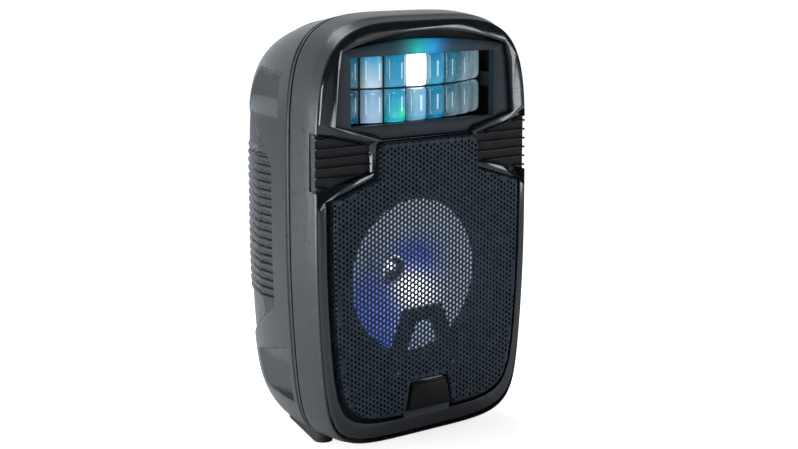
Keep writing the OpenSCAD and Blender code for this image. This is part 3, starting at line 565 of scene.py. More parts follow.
def floor_material():
    """White sweep: almost evenly white to the camera, so that only a trace of the shadow shows."""
    shader = Shader("floor")
    shader.tone(shader.mix(shader.noise(3, 2), (0.86, 0.86, 0.87), (0.88, 0.88, 0.89)))
    shader.set(Roughness=0.9, Specular_IOR_Level=0.1)
    seen = shader.add("ShaderNodeLightPath").outputs["Is Camera Ray"]
    shader.glow((1.0, 1.0, 1.0), shader.math("MULTIPLY", seen, 0.8))
    return shader.material


# The shell's edge colour is a painted highlight along its convex edges.
SHELL = moulded("shell_plastic", (0.021, 0.022, 0.0245), 0.3, 0.03, 1500, 0.12, edge=(0.1, 0.105, 0.11))
GLOSS = gloss_plastic()
BLACK = moulded("black_plastic", (0.018, 0.019, 0.021), 0.4, 0.03, 1800, 0.15)
# Painted shade: the plates behind the grille and behind the louvre slats are real, but they are made darker
# than the shell plastic because they sit in shade.
SHADE_DARK_MATT = moulded("shade_dark_matt_plastic", (0.010, 0.011, 0.013), 0.6, 0.03, 1800, 0.15)
WINDOW_WITH_PAINTED_GLOW = window_plastic()
GRILLE = coated_steel()
RUBBER = moulded("rubber_black", (0.016, 0.016, 0.017), 0.75, 0.06, 900, 0.2)
PAPER_WITH_PAINTED_LIGHT = cone_paper_with_painted_light()
LENS = lens_glass()

NODE_MATERIALS = {
    "shell_plastic": SHELL,
    "gloss_black": GLOSS,
    "black_plastic": BLACK,
    "window_plastic": WINDOW_WITH_PAINTED_GLOW,
    "grille_steel": GRILLE,
    "lens_clear": LENS,
    "lamp": lamp_light("lamp", (0.35, 0.75, 1.0), 4.0),
    "cone_paper": PAPER_WITH_PAINTED_LIGHT,
    "cap_gloss": dust_cap_with_painted_glints(),
    "rubber_black": RUBBER,
    "spider_cloth": moulded("spider_cloth", (0.55, 0.4, 0.16), 0.85, 0.2, 1200, 0.2),
    "zinc_steel": machined("zinc_steel", (0.62, 0.63, 0.65), 0.32),
    "ferrite": moulded("ferrite", (0.035, 0.035, 0.037), 0.55, 0.05, 600, 0.2),
    "coated_steel": moulded("coated_steel", (0.02, 0.021, 0.023), 0.45, 0.04, 1200, 0.15, metallic=0.3),
    "copper_coil": machined("copper_coil", (0.72, 0.38, 0.2), 0.3),
    "circuit_board": circuit_board(),
    "heat_sink_aluminium": machined("heat_sink_aluminium", (0.75, 0.76, 0.78), 0.38),
    "battery_case": moulded("battery_case", (0.03, 0.07, 0.2), 0.4, 0.03, 900, 0.15),
    # The knobs' edge colour is a painted highlight along their convex edges.
    "knob_plastic": moulded("knob_plastic", (0.02, 0.021, 0.023), 0.45, 0.04, 1500, 0.15,
                            edge=(0.09, 0.09, 0.095)),
    "button_metal": machined("button_metal", (0.7, 0.71, 0.73), 0.25),
    "rocker_red": moulded("rocker_red", (0.55, 0.02, 0.015), 0.28, 0.02, 900, 0.12, coat=0.4),
    "display_tint": display_glass(),
    "cable_red": moulded("cable_red", (0.5, 0.03, 0.025), 0.45, 0.03, 900, 0.15),
}
BADGE = badge_plastic()
INK = print_ink()
SEGMENT = lit_segment()


def dress_cad_nodes():
    """Gives every CAD node the material of its slot, and the small parts softened edges."""
    bevels = {"control_panel": 0.5, "rubber_feet": 1.2, "rocker_frame": 0.5, "power_rocker": 0.8,
              "usb_port": 0.15, "card_slot": 0.2, "mic_jacks": 0.5, "line_jack": 0.4, "charge_socket": 0.5,
              "volume_knob": 0.5, "panel_screws": 0.5, "shell_screws": 0.5, "lens_carrier": 0.4,
              "led_bridge": 0.6, "bridge_lights": 0.3, "display_window": 0.4}
    bevels |= {f"{name}_button": 0.6 for name in ("mode", "previous", "play", "next", "light")}
    bevels |= {f"{name}_knob": 0.4 for name in ("treble", "bass", "echo", "mic")}
    for node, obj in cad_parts.items():
        slot = obj.data.materials[0].name.split(".")[0] if obj.data.materials else "black_plastic"
        obj.data.materials.clear()
        obj.data.materials.append(NODE_MATERIALS[slot])
        if node in bevels:
            weld = obj.modifiers.new("weld", "WELD")
            weld.merge_threshold = 0.01 * MM
            bevel = obj.modifiers.new("bevel", "BEVEL")
            bevel.width = bevels[node] * MM
            bevel.segments = 2
            bevel.limit_method = "ANGLE"
            bevel.angle_limit = math.radians(40)
            bevel.harden_normals = False


# ---- Rear shell ----

RIB_PITCH, RIB_COUNT = 7.8, 18
RIBS_LOW = FOOT_DROP + 130
RIBS_HIGH = RIBS_LOW + RIB_PITCH * RIB_COUNT
RIBS_END_D = 172
GRIP_D, GRIP_FLAT_X, GRIP_DEPTH = 80, 112, 2.2
GRIP_BOTTOM, GRIP_TOP = FOOT_DROP + 128, FOOT_DROP + 258
UPPER_SCOOP_D, LOWER_SCOOP_D = 68, 57


def smooth_step(value, low, high):
    share = np.clip((value - low) / (high - low), 0, 1)
    return share * share * (3 - 2 * share)


def grip_front(z):
    """Depth of the grip's front crease: upright beside the ribs, swept back above and below them."""
    above = np.maximum(0, z - GRIP_TOP)
    below = np.maximum(0, GRIP_BOTTOM - z)
    return GRIP_D + 0.6 * above + 0.022 * above ** 2 + 1.75 * below


def grip_depth(x, z, d):
    """Hollow of the hand grip: a flat beside its crease, then a shallow step, with raised ribs across it."""
    hollow = GRIP_DEPTH + np.maximum(0, x - GRIP_FLAT_X)
    wave = np.cos(2 * math.pi * (z - RIBS_LOW) / RIB_PITCH)
    rib = smooth_step(wave, -0.8, 0.3)
    in_rows = smooth_step(z, RIBS_LOW - 2.5, RIBS_LOW) * (1 - smooth_step(z, RIBS_HIGH, RIBS_HIGH + 2.5))
    along = smooth_step(d, GRIP_D + 1.5, GRIP_D + 3) * (1 - smooth_step(d, RIBS_END_D - 5, RIBS_END_D))
    inside = smooth_step(d - grip_front(z), 0, 2.4) * (1 - smooth_step(d, 178, 190))
    return inside * (hollow + (0.8 - 3.0 * rib) * in_rows * along)


def scoop_depth(x, z, d):
    """Flat-floored recesses above and below the grip; their floors run out as the shell narrows."""
    upper_floor = np.maximum(0, x - (108 - 0.17 * (d - UPPER_SCOOP_D)))
    top_z, ledge_z, ramp_z = WINDOW_Z + 16, WINDOW_Z + 12, WINDOW_Z - 12
    upper = np.where(z > ledge_z, np.minimum(upper_floor, 3.5), upper_floor)
    upper = upper * (1 - smooth_step(z, top_z - 1.2, top_z)) * np.clip((z - ramp_z + 13) / 13, 0, 1)
    upper = upper * smooth_step(d, UPPER_SCOOP_D, UPPER_SCOOP_D + 2.5)
    lower_floor = np.maximum(0, x - (105 - 0.08 * (d - LOWER_SCOOP_D)))
    edge_z = FOOT_DROP + 93 - 0.25 * (d - LOWER_SCOOP_D)
    ramp = np.clip((edge_z - z) / 22, 0, 1)
    lower = np.minimum(lower_floor, 2 + 12 * ramp) * (1 - smooth_step(z, edge_z - 1.2, edge_z))
    lower = lower * smooth_step(z, FOOT_DROP + 39, FOOT_DROP + 41)
    lower = lower * smooth_step(d, LOWER_SCOOP_D, LOWER_SCOOP_D + 2.5)
    return upper + lower


def seam_depth(d):
    """Groove behind the flange that meets the seam."""
    return 1.3 * smooth_step(d, 46.0, 46.8) * (1 - smooth_step(d, 50, 51))


def rear_shell():
    """Satin rear shell with its grips, scoops and groove cut into one grid of rings."""
    def density(x, z):
        at_side = np.abs(x) > 80
        grip = at_side & (z > RIBS_LOW - 6) & (z < RIBS_HIGH + 6)
        scoop = at_side & (((z > 308) & (z < 356)) | ((z > 42) & (z < 102)))
        return 0.28 + 0.85 * grip + 0.5 * scoop

    shares = outline_shares(780, density)
    groove_depths = [44.6, 45.4, 46, 46.4, 46.8, 48, 49.8, 50.4, 51, 52.5, 54.5]
    depths = np.concatenate([groove_depths, np.arange(56, 100, 1.0), np.arange(101, 180, 1.5),
                             np.arange(181, 197, 3), [197.2]])
    rings = []
    front_edge = ((44, 1.2), (44.05, 0.6), (44.25, 0.2))
    rear_edge = ((198.4, 0.5), (199.3, 1.4), (199.85, 2.8), (200, 4.4))
    for d, inset in front_edge:
        rings.append(deep(outline(shares, HALF_W - inset, FOOT_DROP + inset, BODY_TOP - inset), d))
    for d in depths:
        flat = outline(shares, shell_half_w(d), shell_bottom(d), shell_top(d))
        rings.append(deep(flat, d))
    for d, inset in rear_edge:
        flat = outline(shares, shell_half_w(d) - inset, shell_bottom(d) + inset, shell_top(d) - inset)
        rings.append(deep(flat, d))
    grid = np.array(rings)
    along = np.roll(grid, -1, 1) - np.roll(grid, 1, 1)
    back = np.gradient(grid, axis=0)
    normal = np.cross(along, back)
    normal /= np.maximum(np.linalg.norm(normal, axis=2, keepdims=True), 1e-9)
    centre = np.array([0, 100, PANEL_Z])
    outward = np.sign(np.sum(normal * (grid - centre), axis=2, keepdims=True))
    x, d, z = np.abs(grid[:, :, 0]), grid[:, :, 1].copy(), grid[:, :, 2].copy()
    cut = (grip_depth(x, z, d) + scoop_depth(x, z, d)) * smooth_step(x, 62, 76)
    # The rounded edges stay uncut.
    cut[:len(front_edge)] = 0
    cut[-len(rear_edge) - 1:] = 0
    groove = seam_depth(d)
    groove[:len(front_edge)] = 0
    grid[:, :, 0] -= np.sign(grid[:, :, 0]) * cut
    grid = grid - normal * outward * groove[:, :, None]
    # Flat rear face down to the opening behind the control panel.
    panel_middle = np.array([0, PANEL_Z])
    rear = grid[-1][:, [0, 2]] - panel_middle
    hole_half_w, hole_half_h, hole_corner = 45, 90, 5
    hole = squared_ring(np.arctan2(rear[:, 1], rear[:, 0]), hole_half_w, hole_half_h, hole_corner)
    rear_rings = [deep(rear * (1 - s) + hole * s + panel_middle, BODY_D) for s in (0.5, 1.0)]
    points = np.concatenate([grid.reshape(-1, 3)] + rear_rings)
    count = len(shares)
    faces = ring_faces(len(grid) + 2, count)
    centres = points[np.array(faces)].mean(1)
    in_pocket = ((np.abs(centres[:, 0]) < POCKET_HALF_W + 0.5)
                 & (np.abs(centres[:, 1] - HANDLE_D) < POCKET_HALF_D + 0.5) & (centres[:, 2] > WINDOW_Z))
    faces = [f for f, cut in zip(faces, in_pocket) if not cut]
    obj = make_object("rear_housing", points, faces, SHELL, smooth=30)
    add_wall(obj, 2.4)
    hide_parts("rear_shell")


def squared_ring(angles, half_x, half_z, radius):
    """Points of a rounded rectangle in the given directions from its middle."""
    c, s = np.cos(angles), np.sin(angles)
    reach = np.minimum(half_x / np.maximum(np.abs(c), 1e-6), half_z / np.maximum(np.abs(s), 1e-6))
    x, z = reach * c, reach * s
    corner_x, corner_z = half_x - radius, half_z - radius
    over = (np.abs(x) > corner_x) & (np.abs(z) > corner_z)
    away = np.stack([np.abs(x) - corner_x, np.abs(z) - corner_z], 1)
    length = np.maximum(np.linalg.norm(away, axis=1), 1e-6)
    pull = np.where(over, np.minimum(1, radius / length), 1)
    x = np.where(over, np.sign(x) * (corner_x + away[:, 0] * pull), x)
    z = np.where(over, np.sign(z) * (corner_z + away[:, 1] * pull), z)
    return np.stack([x, z], 1)


def handle_pocket():
    """Cup that lines the handle's recess, with a flange over the shell."""
    count = 120
    angles = np.linspace(0, 2 * math.pi, count, endpoint=False)
    rings = []
    floor_z = HANDLE_Z - 30
    # Half-size growth and lift above the shell, from the flange's edge to its inner lip.
    for grow, lift in ((5.0, -0.6), (5.0, 0.5), (4.4, 1.1), (0.8, 1.2), (0.1, 0.8), (-0.2, -0.2)):
        flat = squared_ring(angles, POCKET_HALF_W + grow, POCKET_HALF_D + grow, POCKET_CORNER + max(grow, 0))
        d = flat[:, 1] + HANDLE_D
        rings.append(np.stack([flat[:, 0], d, top_height(flat[:, 0], d) + lift], 1))
    for grow, z in ((-0.8, floor_z + 3), (-1.6, floor_z + 1), (-3.5, floor_z + 0.2), (-8, floor_z)):
        flat = squared_ring(angles, POCKET_HALF_W + grow, POCKET_HALF_D + grow, max(POCKET_CORNER + grow, 2))
        rings.append(np.stack([flat[:, 0], flat[:, 1] + HANDLE_D, np.full(count, z)], 1))
    obj = loft("handle_pocket", rings, BLACK, caps=(False, True), smooth=40)
    add_wall(obj, 1.2)


def carry_handle():
    """Round grip with soft finger ribs and plain ends."""
    radius = (handle_high.z - handle_low.z) / 2
    stations = np.linspace(-POCKET_HALF_W, POCKET_HALF_W, 175)
    sides = 48
    angles = np.linspace(0, 2 * math.pi, sides, endpoint=False)
    rings = []
    for x in stations:
        in_grip = smooth_step(abs(x), 44, 42)
        rib = 0.45 * in_grip * (0.5 + 0.5 * math.cos(2 * math.pi * x / 4.5))
        barrel = 0.5 * (x / POCKET_HALF_W) ** 2
        end = 0.8 * smooth_step(abs(x), POCKET_HALF_W - 0.8, POCKET_HALF_W)
        r = radius - rib - barrel * in_grip - end - 0.05
        rings.append(np.stack([np.full(sides, x), HANDLE_D + r * np.cos(angles),
                               HANDLE_Z + r * np.sin(angles)], 1))
    obj = loft("carry_handle_grip", rings, RUBBER, caps=(True, True), smooth=40)
    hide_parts("carry_handle")


# ---- Front ----

def front_skirt():
    """Satin skirt from the lip round the bezel back to the seam, cut away beside the louvres."""
    middle, half_h = (RIM_TOP + LIP_BOTTOM) / 2, (RIM_TOP - LIP_BOTTOM) / 2
    notch = [(LOUVRE_Z + side * NOTCH_OUTER_HALF_H - middle) / half_h for side in (-1, 1)]
    edge = 0.0006
    shares = outline_shares(440, extra=[v + step for v in notch for step in (-edge, 0, edge)])
    in_notch = (shares[:, 1] > notch[0] - edge / 2) & (shares[:, 1] < notch[1] + edge / 2)

    # The skirt's insets behind the bezel, from its outline at the seam.
    side_in, bottom_in, top_in = 0.4, 0.8, 4

    def front_ring(d, inset):
        if d < BEZEL_D:
            share = (d - LIP_D) / (BEZEL_D - LIP_D)
            half_w = RIM_HALF_W * (1 - share) + (HALF_W - side_in) * share
            bottom = LIP_BOTTOM * (1 - share) + (FOOT_DROP + bottom_in) * share
            top = RIM_TOP * (1 - share) + (BODY_TOP - top_in) * share
        else:
            share = min(1, (d - BEZEL_D) / (GASKET_D - BEZEL_D)) ** 0.5
            half_w = HALF_W - side_in * (1 - share)
            bottom = FOOT_DROP + bottom_in * (1 - share)
            top = BODY_TOP - top_in * (1 - share)
        flat = outline(shares, half_w - inset, bottom + inset, top - inset)
        depth = np.where(in_notch, max(d, BEZEL_D + d * 0.01), d)
        return np.stack([flat[:, 0], depth, flat[:, 1]], 1)

    # Depths with insets: the rounded lip, the even middle, the rounded edge at the seam, then the inside.
    lip = [(LIP_D, 1.15), (1.82, 0.9), (2.0, 0.5), (2.3, 0.22), (2.7, 0.06), (3.2, 0)]
    middle_ring = [(d, 0) for d in (4.5, 7, 10, 12, 14, 17, 21, 26, 31, 36, 40)]
    seam = [(41.2, 0.05), (41.7, 0.25), (41.95, 0.6), (GASKET_D, 1.2)]
    inside = [(GASKET_D, 3.0), (30, 3.2), (16, 3.4), (12.4, 3.4), (12.2, 1.25), (4, 1.25), (2, 1.2)]
    rings = [front_ring(d, inset) for d, inset in lip + middle_ring + seam + inside]
    obj = loft("front_skirt", rings, SHELL, around=True, smooth=35)
    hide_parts("front_shell")


def front_plate():
    """Plate behind the bezel with a round opening for the woofer and a square one for the light effect."""
    front, back = BEZEL_D + 0.1, BEZEL_D + 4
    half_w, half_h = WINDOW_HALF_W + 8, WINDOW_HALF_H + 2.5
    edge = outline(outline_shares(240), HALF_W - 3.6, FOOT_DROP + 4.2, BODY_TOP - 7.4)
    turns = np.linspace(0, 2 * math.pi, 121)[:-1]
    round_hole = np.stack([OPENING_R * np.cos(turns), WOOFER_Z + OPENING_R * np.sin(turns)], 1)
    square_hole = np.array([[-1, -1], [1, -1], [1, 1], [-1, 1]]) * (half_w, half_h) + (0, WINDOW_Z)
    edges, start = [], 0
    for loop in (edge, round_hole, square_hole):
        edges += [(start + i, start + (i + 1) % len(loop)) for i in range(len(loop))]
        start += len(loop)
    flat = [Vector(p) for p in np.concatenate([edge, round_hole, square_hole])]
    points, _, triangles, *_ = delaunay_2d_cdt(flat, edges, [], 1, 1e-5)
    points = np.array([[p.x, p.y] for p in points])
    count = len(points)
    faces = []
    for triangle in triangles:
        middle = points[list(triangle)].mean(0)
        in_round = math.hypot(middle[0], middle[1] - WOOFER_Z) < OPENING_R
        in_square = abs(middle[0]) < half_w and abs(middle[1] - WINDOW_Z) < half_h
        if not in_round and not in_square:
            faces.append(tuple(triangle))
            faces.append(tuple(count + i for i in reversed(triangle)))
    faces += [(b, a, count + a, count + b) for a, b in edges]
    solid = np.concatenate([deep(points, front), deep(points, back)])
    # Painted shade: the plate is darker than the shell it belongs to.
    obj = make_object("front_plate", solid, faces, SHADE_DARK_MATT)
    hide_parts("front_shell")


def ray_ring(loop, centre, angles):
    """Points where rays from the centre leave the loop."""
    a = loop - centre
    step = np.roll(a, -1, 0) - a
    ring = []
    for angle in angles:
        c, s = math.cos(angle), math.sin(angle)
        cross = step[:, 1] * c - step[:, 0] * s
        with np.errstate(divide="ignore", invalid="ignore"):
            reach = (a[:, 0] * step[:, 1] - a[:, 1] * step[:, 0]) / cross
            share = (a[:, 0] * s - a[:, 1] * c) / cross
        hits = reach[(share >= -1e-9) & (share <= 1 + 1e-9) & (reach > 0)]
        ring.append((hits.max() * c, hits.max() * s))
    return np.array(ring) + centre


def window_frame():
    """Recessed panel round the lenses with rounded edges, inside the CAD panel's outline."""
    centre = np.array([0, WINDOW_Z])
    outer = front_loop("window_panel")
    corners = [math.atan2(z - WINDOW_Z, x) for x, z in outer]
    corners += [math.atan2(sz * WINDOW_HALF_H, sx * WINDOW_HALF_W) for sx in (-1, 1) for sz in (-1, 1)]
    angles = np.unique(np.round(np.concatenate([np.linspace(-math.pi, math.pi, 241)[:-1], corners]), 5))
    edge = ray_ring(outer, centre, angles)
    opening = squared_ring(angles, WINDOW_HALF_W, WINDOW_HALF_H, 1.5) + centre
    front = window_low.y - RIM_Y
    # Depths behind the face with how far each edge is rounded away there.
    rounding = ((7.5, 0), (0.9, 0), (0.45, 0.1), (0.12, 0.4), (0, 0.9))

    def moved(loop, distance):
        reach = np.linalg.norm(loop - centre, axis=1, keepdims=True)
        return centre + (loop - centre) * (1 + distance / reach)

    rings = [deep(moved(edge, -cut), front + d) for d, cut in rounding]
    rings += [deep(moved(opening, cut), front + d) for d, cut in reversed(rounding)]
    obj = loft("window_frame", rings, WINDOW_WITH_PAINTED_GLOW, around=True, smooth=30)
    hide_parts("window_panel")


def build_front():
    front_skirt()
    front_plate()
    rounded_copy("front_bezel", "gloss_bezel", 0.7, 3, GLOSS, angle=25)
    window_frame()
    rounded_copy("badge", "plain_badge", 0.5, 3, BADGE)


def louvre(side):
    """Back plate and thin slats with bead ends."""
    node = "louvre_right" if side > 0 else "louvre_left"
    inner_x = NOTCH_X + 0.4
    outer_x = RIM_HALF_W - 1.2
    slope = (NOTCH_OUTER_HALF_H - NOTCH_INNER_HALF_H) / (RIM_HALF_W * 0.99 - NOTCH_X)
    slats = 6

    def half_h(x):
        return NOTCH_INNER_HALF_H + slope * (x - NOTCH_X) - 0.5

    points, faces = [], []

    def add_bar(ring_a, ring_b):
        start = len(points)
        points.extend(ring_a + ring_b)
        n = len(ring_a)
        for i in range(n):
            j = (i + 1) % n
            faces.append((start + i, start + j, start + n + j, start + n + i))
        faces.append(tuple(range(start + n - 1, start - 1, -1)))
        faces.append(tuple(range(start + n, start + 2 * n)))

    face_d = 5.2
    plate = [[side * x, face_d, LOUVRE_Z + sign * half_h(x)]
             for x, sign in ((inner_x, -1), (outer_x, -1), (outer_x, 1), (inner_x, 1))]
    add_bar(plate, [[p[0], BEZEL_D - 0.1, p[2]] for p in plate])
    # Painted shade: the dark plate stands in for the shade between the slats.
    make_object(f"{node}_plate", points, faces, SHADE_DARK_MATT, smooth=30)
    points, faces = [], []
    profile = [(5.4, -0.75), (2.6, -0.6), (1.75, -0.45), (1.5, 0), (1.75, 0.45), (2.6, 0.6), (5.4, 0.75)]
    for i in range(slats):
        z = LOUVRE_Z + (i - (slats - 1) / 2) * 2 * NOTCH_OUTER_HALF_H / slats
        # The slat starts where the notch is tall enough for it.
        reach = max(inner_x, NOTCH_X + (abs(z - LOUVRE_Z) - NOTCH_INNER_HALF_H + 1.4) / slope)
        add_bar([[side * reach, d, z + h] for d, h in profile],
                [[side * outer_x, d, z + h] for d, h in profile])
        add_bead(points, faces, side * (outer_x - 0.2), 3.6, z)
    obj = make_object(f"{node}_slats", points, faces, GLOSS, smooth=50)
    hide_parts(node)


def add_bead(points, faces, x, d, z, radius=1.25, rows=6, count=12):
    """Small ball appended to a mesh's lists."""
    start = len(points)
    for r in range(1, rows):
        lean = math.pi * r / rows
        for i in range(count):
            turn = 2 * math.pi * i / count
            points.append([x + radius * math.sin(lean) * math.cos(turn), d + radius * math.cos(lean),
                           z + radius * math.sin(lean) * math.sin(turn)])
    points.append([x, d + radius, z])
    points.append([x, d - radius, z])
    for r in range(rows - 2):
        for i in range(count):
            j = (i + 1) % count
            a, b = start + r * count, start + (r + 1) * count
            faces.append((a + i, a + j, b + j, b + i))
    tip, tail = len(points) - 2, len(points) - 1
    for i in range(count):
        j = (i + 1) % count
        faces.append((start + j, start + i, tip))
        faces.append((start + (rows - 2) * count + i, start + (rows - 2) * count + j, tail))


# ---- Grille ----

HOLE_R, HOLE_PITCH = 1.52, 4.8
BEND_R, WALL_RUN = 2.2, 12.0
STEEL = 1.0


def front_loop(node):
    """Outer boundary, in order, of the CAD node's foremost flat face."""
    low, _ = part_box(node)
    work = bmesh.new()
    work.from_mesh(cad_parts[node].data)
    bmesh.ops.remove_doubles(work, verts=work.verts, dist=0.01 * MM)
    work.faces.index_update()
    # Lists and dictionaries only, so that the loop starts at the same corner in every run.
    chosen = [f for f in work.faces if abs(f.calc_center_median().y - low.y) < 0.01 * MM]
    chosen_numbers = {face.index for face in chosen}
    follow = {}
    for face in chosen:
        for loop in face.loops:
            others = [other.index for other in loop.edge.link_faces if other.index != face.index]
            if not any(number in chosen_numbers for number in others):
                follow[loop.vert] = loop.link_loop_next.vert
    best = None
    while follow:
        start, vert = follow.popitem()
        line = [start, vert]
        while line[-1] in follow:
            line.append(follow.pop(line[-1]))
        points = np.array([[v.co.x / MM, v.co.z / MM] for v in line[:-1]])
        if best is None or abs(signed_area(points)) > abs(signed_area(best)):
            best = points
    work.free()
    return best if signed_area(best) > 0 else best[::-1]


def signed_area(points):
    x, z = points[:, 0], points[:, 1]
    return 0.5 * np.sum(x * np.roll(z, -1) - np.roll(x, -1) * z)


def inset_loop(points, distance):
    """Moves an anticlockwise loop inwards by distance, with mitred corners."""
    ahead = np.roll(points, -1, 0) - points
    ahead /= np.linalg.norm(ahead, axis=1, keepdims=True)
    behind = np.roll(ahead, 1, 0)
    normal_a = np.stack([-ahead[:, 1], ahead[:, 0]], 1)
    normal_b = np.stack([-behind[:, 1], behind[:, 0]], 1)
    mitre = normal_a + normal_b
    mitre /= np.sum(mitre * normal_a, axis=1, keepdims=True)
    return points + mitre * distance


def nearest_on_loop(points, loop):
    """For each point: the nearest point on the loop, the distance and whether it lies outside the loop."""
    a = loop
    step = np.roll(loop, -1, 0) - loop
    share = np.sum((points[:, None] - a) * step, 2) / np.sum(step * step, 1)
    share = np.clip(share, 0, 1)
    feet = a + share[..., None] * step
    gap = np.linalg.norm(points[:, None] - feet, axis=2)
    best = np.argmin(gap, 1)
    rows = np.arange(len(points))
    crossing = ((a[:, 1] > points[:, None, 1]) != (np.roll(a, -1, 0)[:, 1] > points[:, None, 1]))
    with np.errstate(divide="ignore", invalid="ignore"):
        cut_x = a[:, 0] + (points[:, None, 1] - a[:, 1]) * step[:, 0] / step[:, 1]
    inside = np.sum(crossing & (points[:, None, 0] < cut_x), 1) % 2 == 1
    return feet[rows, best], gap[rows, best], ~inside


def grille():
    """Perforated sheet, folded back round its edge; every hole is real."""
    face = box_mm("grille")[0].y - RIM_Y
    edge_loop = inset_loop(front_loop("grille"), BEND_R)
    flat_edge = inset_loop(edge_loop, -WALL_RUN)
    bends = [inset_loop(edge_loop, -t) for t in (0, BEND_R * math.pi / 6, BEND_R * math.pi / 3,
                                                 BEND_R * math.pi / 2)]
    column = HOLE_PITCH * math.sqrt(3) / 2
    columns_each_side, rows, lowest = 31, 68, 8
    centres = np.array([(i * column, lowest + (k + 0.5 * (i % 2)) * HOLE_PITCH)
                        for i in range(-columns_each_side, columns_each_side + 1) for k in range(rows)])
    _, gap, outside = nearest_on_loop(centres, flat_edge)
    centres = centres[~outside & (gap > HOLE_R + 1.0)]
    _, gap, outside = nearest_on_loop(centres, edge_loop)
    centres = centres[(gap > HOLE_R + 0.4) | outside]
    sides = 12
    turns = np.linspace(0, 2 * math.pi, sides, endpoint=False)
    verts, edges, areas = [], [], []

    def add_loop(points, area):
        start = len(verts)
        verts.extend(Vector(p) for p in points)
        n = len(points)
        if area:
            areas.append(list(range(start, start + n)))
        else:
            edges.extend((start + i, start + (i + 1) % n) for i in range(n))

    add_loop(flat_edge, True)
    for bend in bends:
        add_loop(bend, False)
    for cx, cz in centres:
        add_loop(np.stack([cx + HOLE_R * np.cos(turns), cz + HOLE_R * np.sin(turns)], 1), True)
    flat, _, triangles, _, _, owners = delaunay_2d_cdt(verts, edges, areas, 0, 1e-5)
    keep = [t for t, own in zip(triangles, owners) if own and all(a == 0 for a in own)]
    flat = np.array([tuple(v) for v in flat])
    foot, gap, outside = nearest_on_loop(flat, edge_loop)
    gap = np.where(outside, gap, 0)
    away = np.where(outside[:, None], flat - foot, 0)
    away = away / np.maximum(np.linalg.norm(away, axis=1, keepdims=True), 1e-9)
    lean = np.minimum(gap / BEND_R, math.pi / 2)
    run = np.maximum(0, gap - BEND_R * math.pi / 2)
    base = np.where((gap > 0)[:, None], foot, flat)
    outer_flat = base + away * (BEND_R * np.sin(lean))[:, None]
    outer_d = face + BEND_R * (1 - np.cos(lean)) + run
    inner_flat = outer_flat - away * (STEEL * np.sin(lean))[:, None]
    inner_d = outer_d + STEEL * np.cos(lean)
    outer = np.stack([outer_flat[:, 0], outer_d, outer_flat[:, 1]], 1)
    inner = np.stack([inner_flat[:, 0], inner_d, inner_flat[:, 1]], 1)
    total = len(outer)
    faces = [tuple(t) for t in keep] + [tuple(v + total for v in reversed(t)) for t in keep]
    sides_of = {}
    for t in keep:
        for i in range(3):
            sides_of[(t[i], t[(i + 1) % 3])] = True
    for a, b in sides_of:
        if (b, a) not in sides_of:
            faces.append((b, a, a + total, b + total))
    obj = make_object("perforated_grille", np.concatenate([outer, inner]), faces, GRILLE, smooth=38)
    work = bmesh.new()
    work.from_mesh(obj.data)
    bmesh.ops.delete(work, geom=[v for v in work.verts if not v.link_faces], context="VERTS")
    work.to_mesh(obj.data)
    work.free()
    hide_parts("grille")


# ---- Light window ----

LENS_STEP, LENS_CURVE_R, LENS_FRONT_D = 8.2, 172, 10
LENS_W, LENS_H, LENS_T = 20.5, 30, 9
ROW_PITCH = 32
# Painted glow in each column from left to right: top and foot of the upper lens, then top and foot of the
# lower one.
LENS_PAINTED_GLOW = (
    ((0.00, 0.10, 0.20), (0.02, 0.14, 0.26), (0.02, 0.10, 0.18), (0.02, 0.14, 0.26)),
    ((0.00, 0.12, 0.22), (0.01, 0.08, 0.14), (0.02, 0.06, 0.10), (0.00, 0.10, 0.22)),
    ((0.00, 0.34, 0.62), (0.62, 0.76, 0.86), (0.22, 0.42, 0.66), (0.42, 0.62, 0.82)),
    ((0.00, 0.24, 0.46), (0.01, 0.30, 0.56), (0.01, 0.28, 0.52), (0.00, 0.62, 0.72)),
    ((6.00, 6.00, 6.00), (5.00, 5.00, 5.00), (0.30, 0.55, 0.78), (0.16, 0.48, 0.74)),
    ((0.00, 0.22, 0.44), (0.00, 0.34, 0.62), (0.00, 0.20, 0.38), (0.00, 0.22, 0.42)),
    ((0.00, 0.12, 0.20), (0.04, 0.18, 0.24), (0.03, 0.12, 0.18), (0.10, 0.18, 0.22)),
    ((0.06, 0.18, 0.26), (0.26, 0.34, 0.40), (0.10, 0.20, 0.26), (0.22, 0.30, 0.36)),
    ((0.16, 0.26, 0.34), (0.30, 0.38, 0.44), (0.14, 0.24, 0.30), (0.24, 0.32, 0.38)),
)


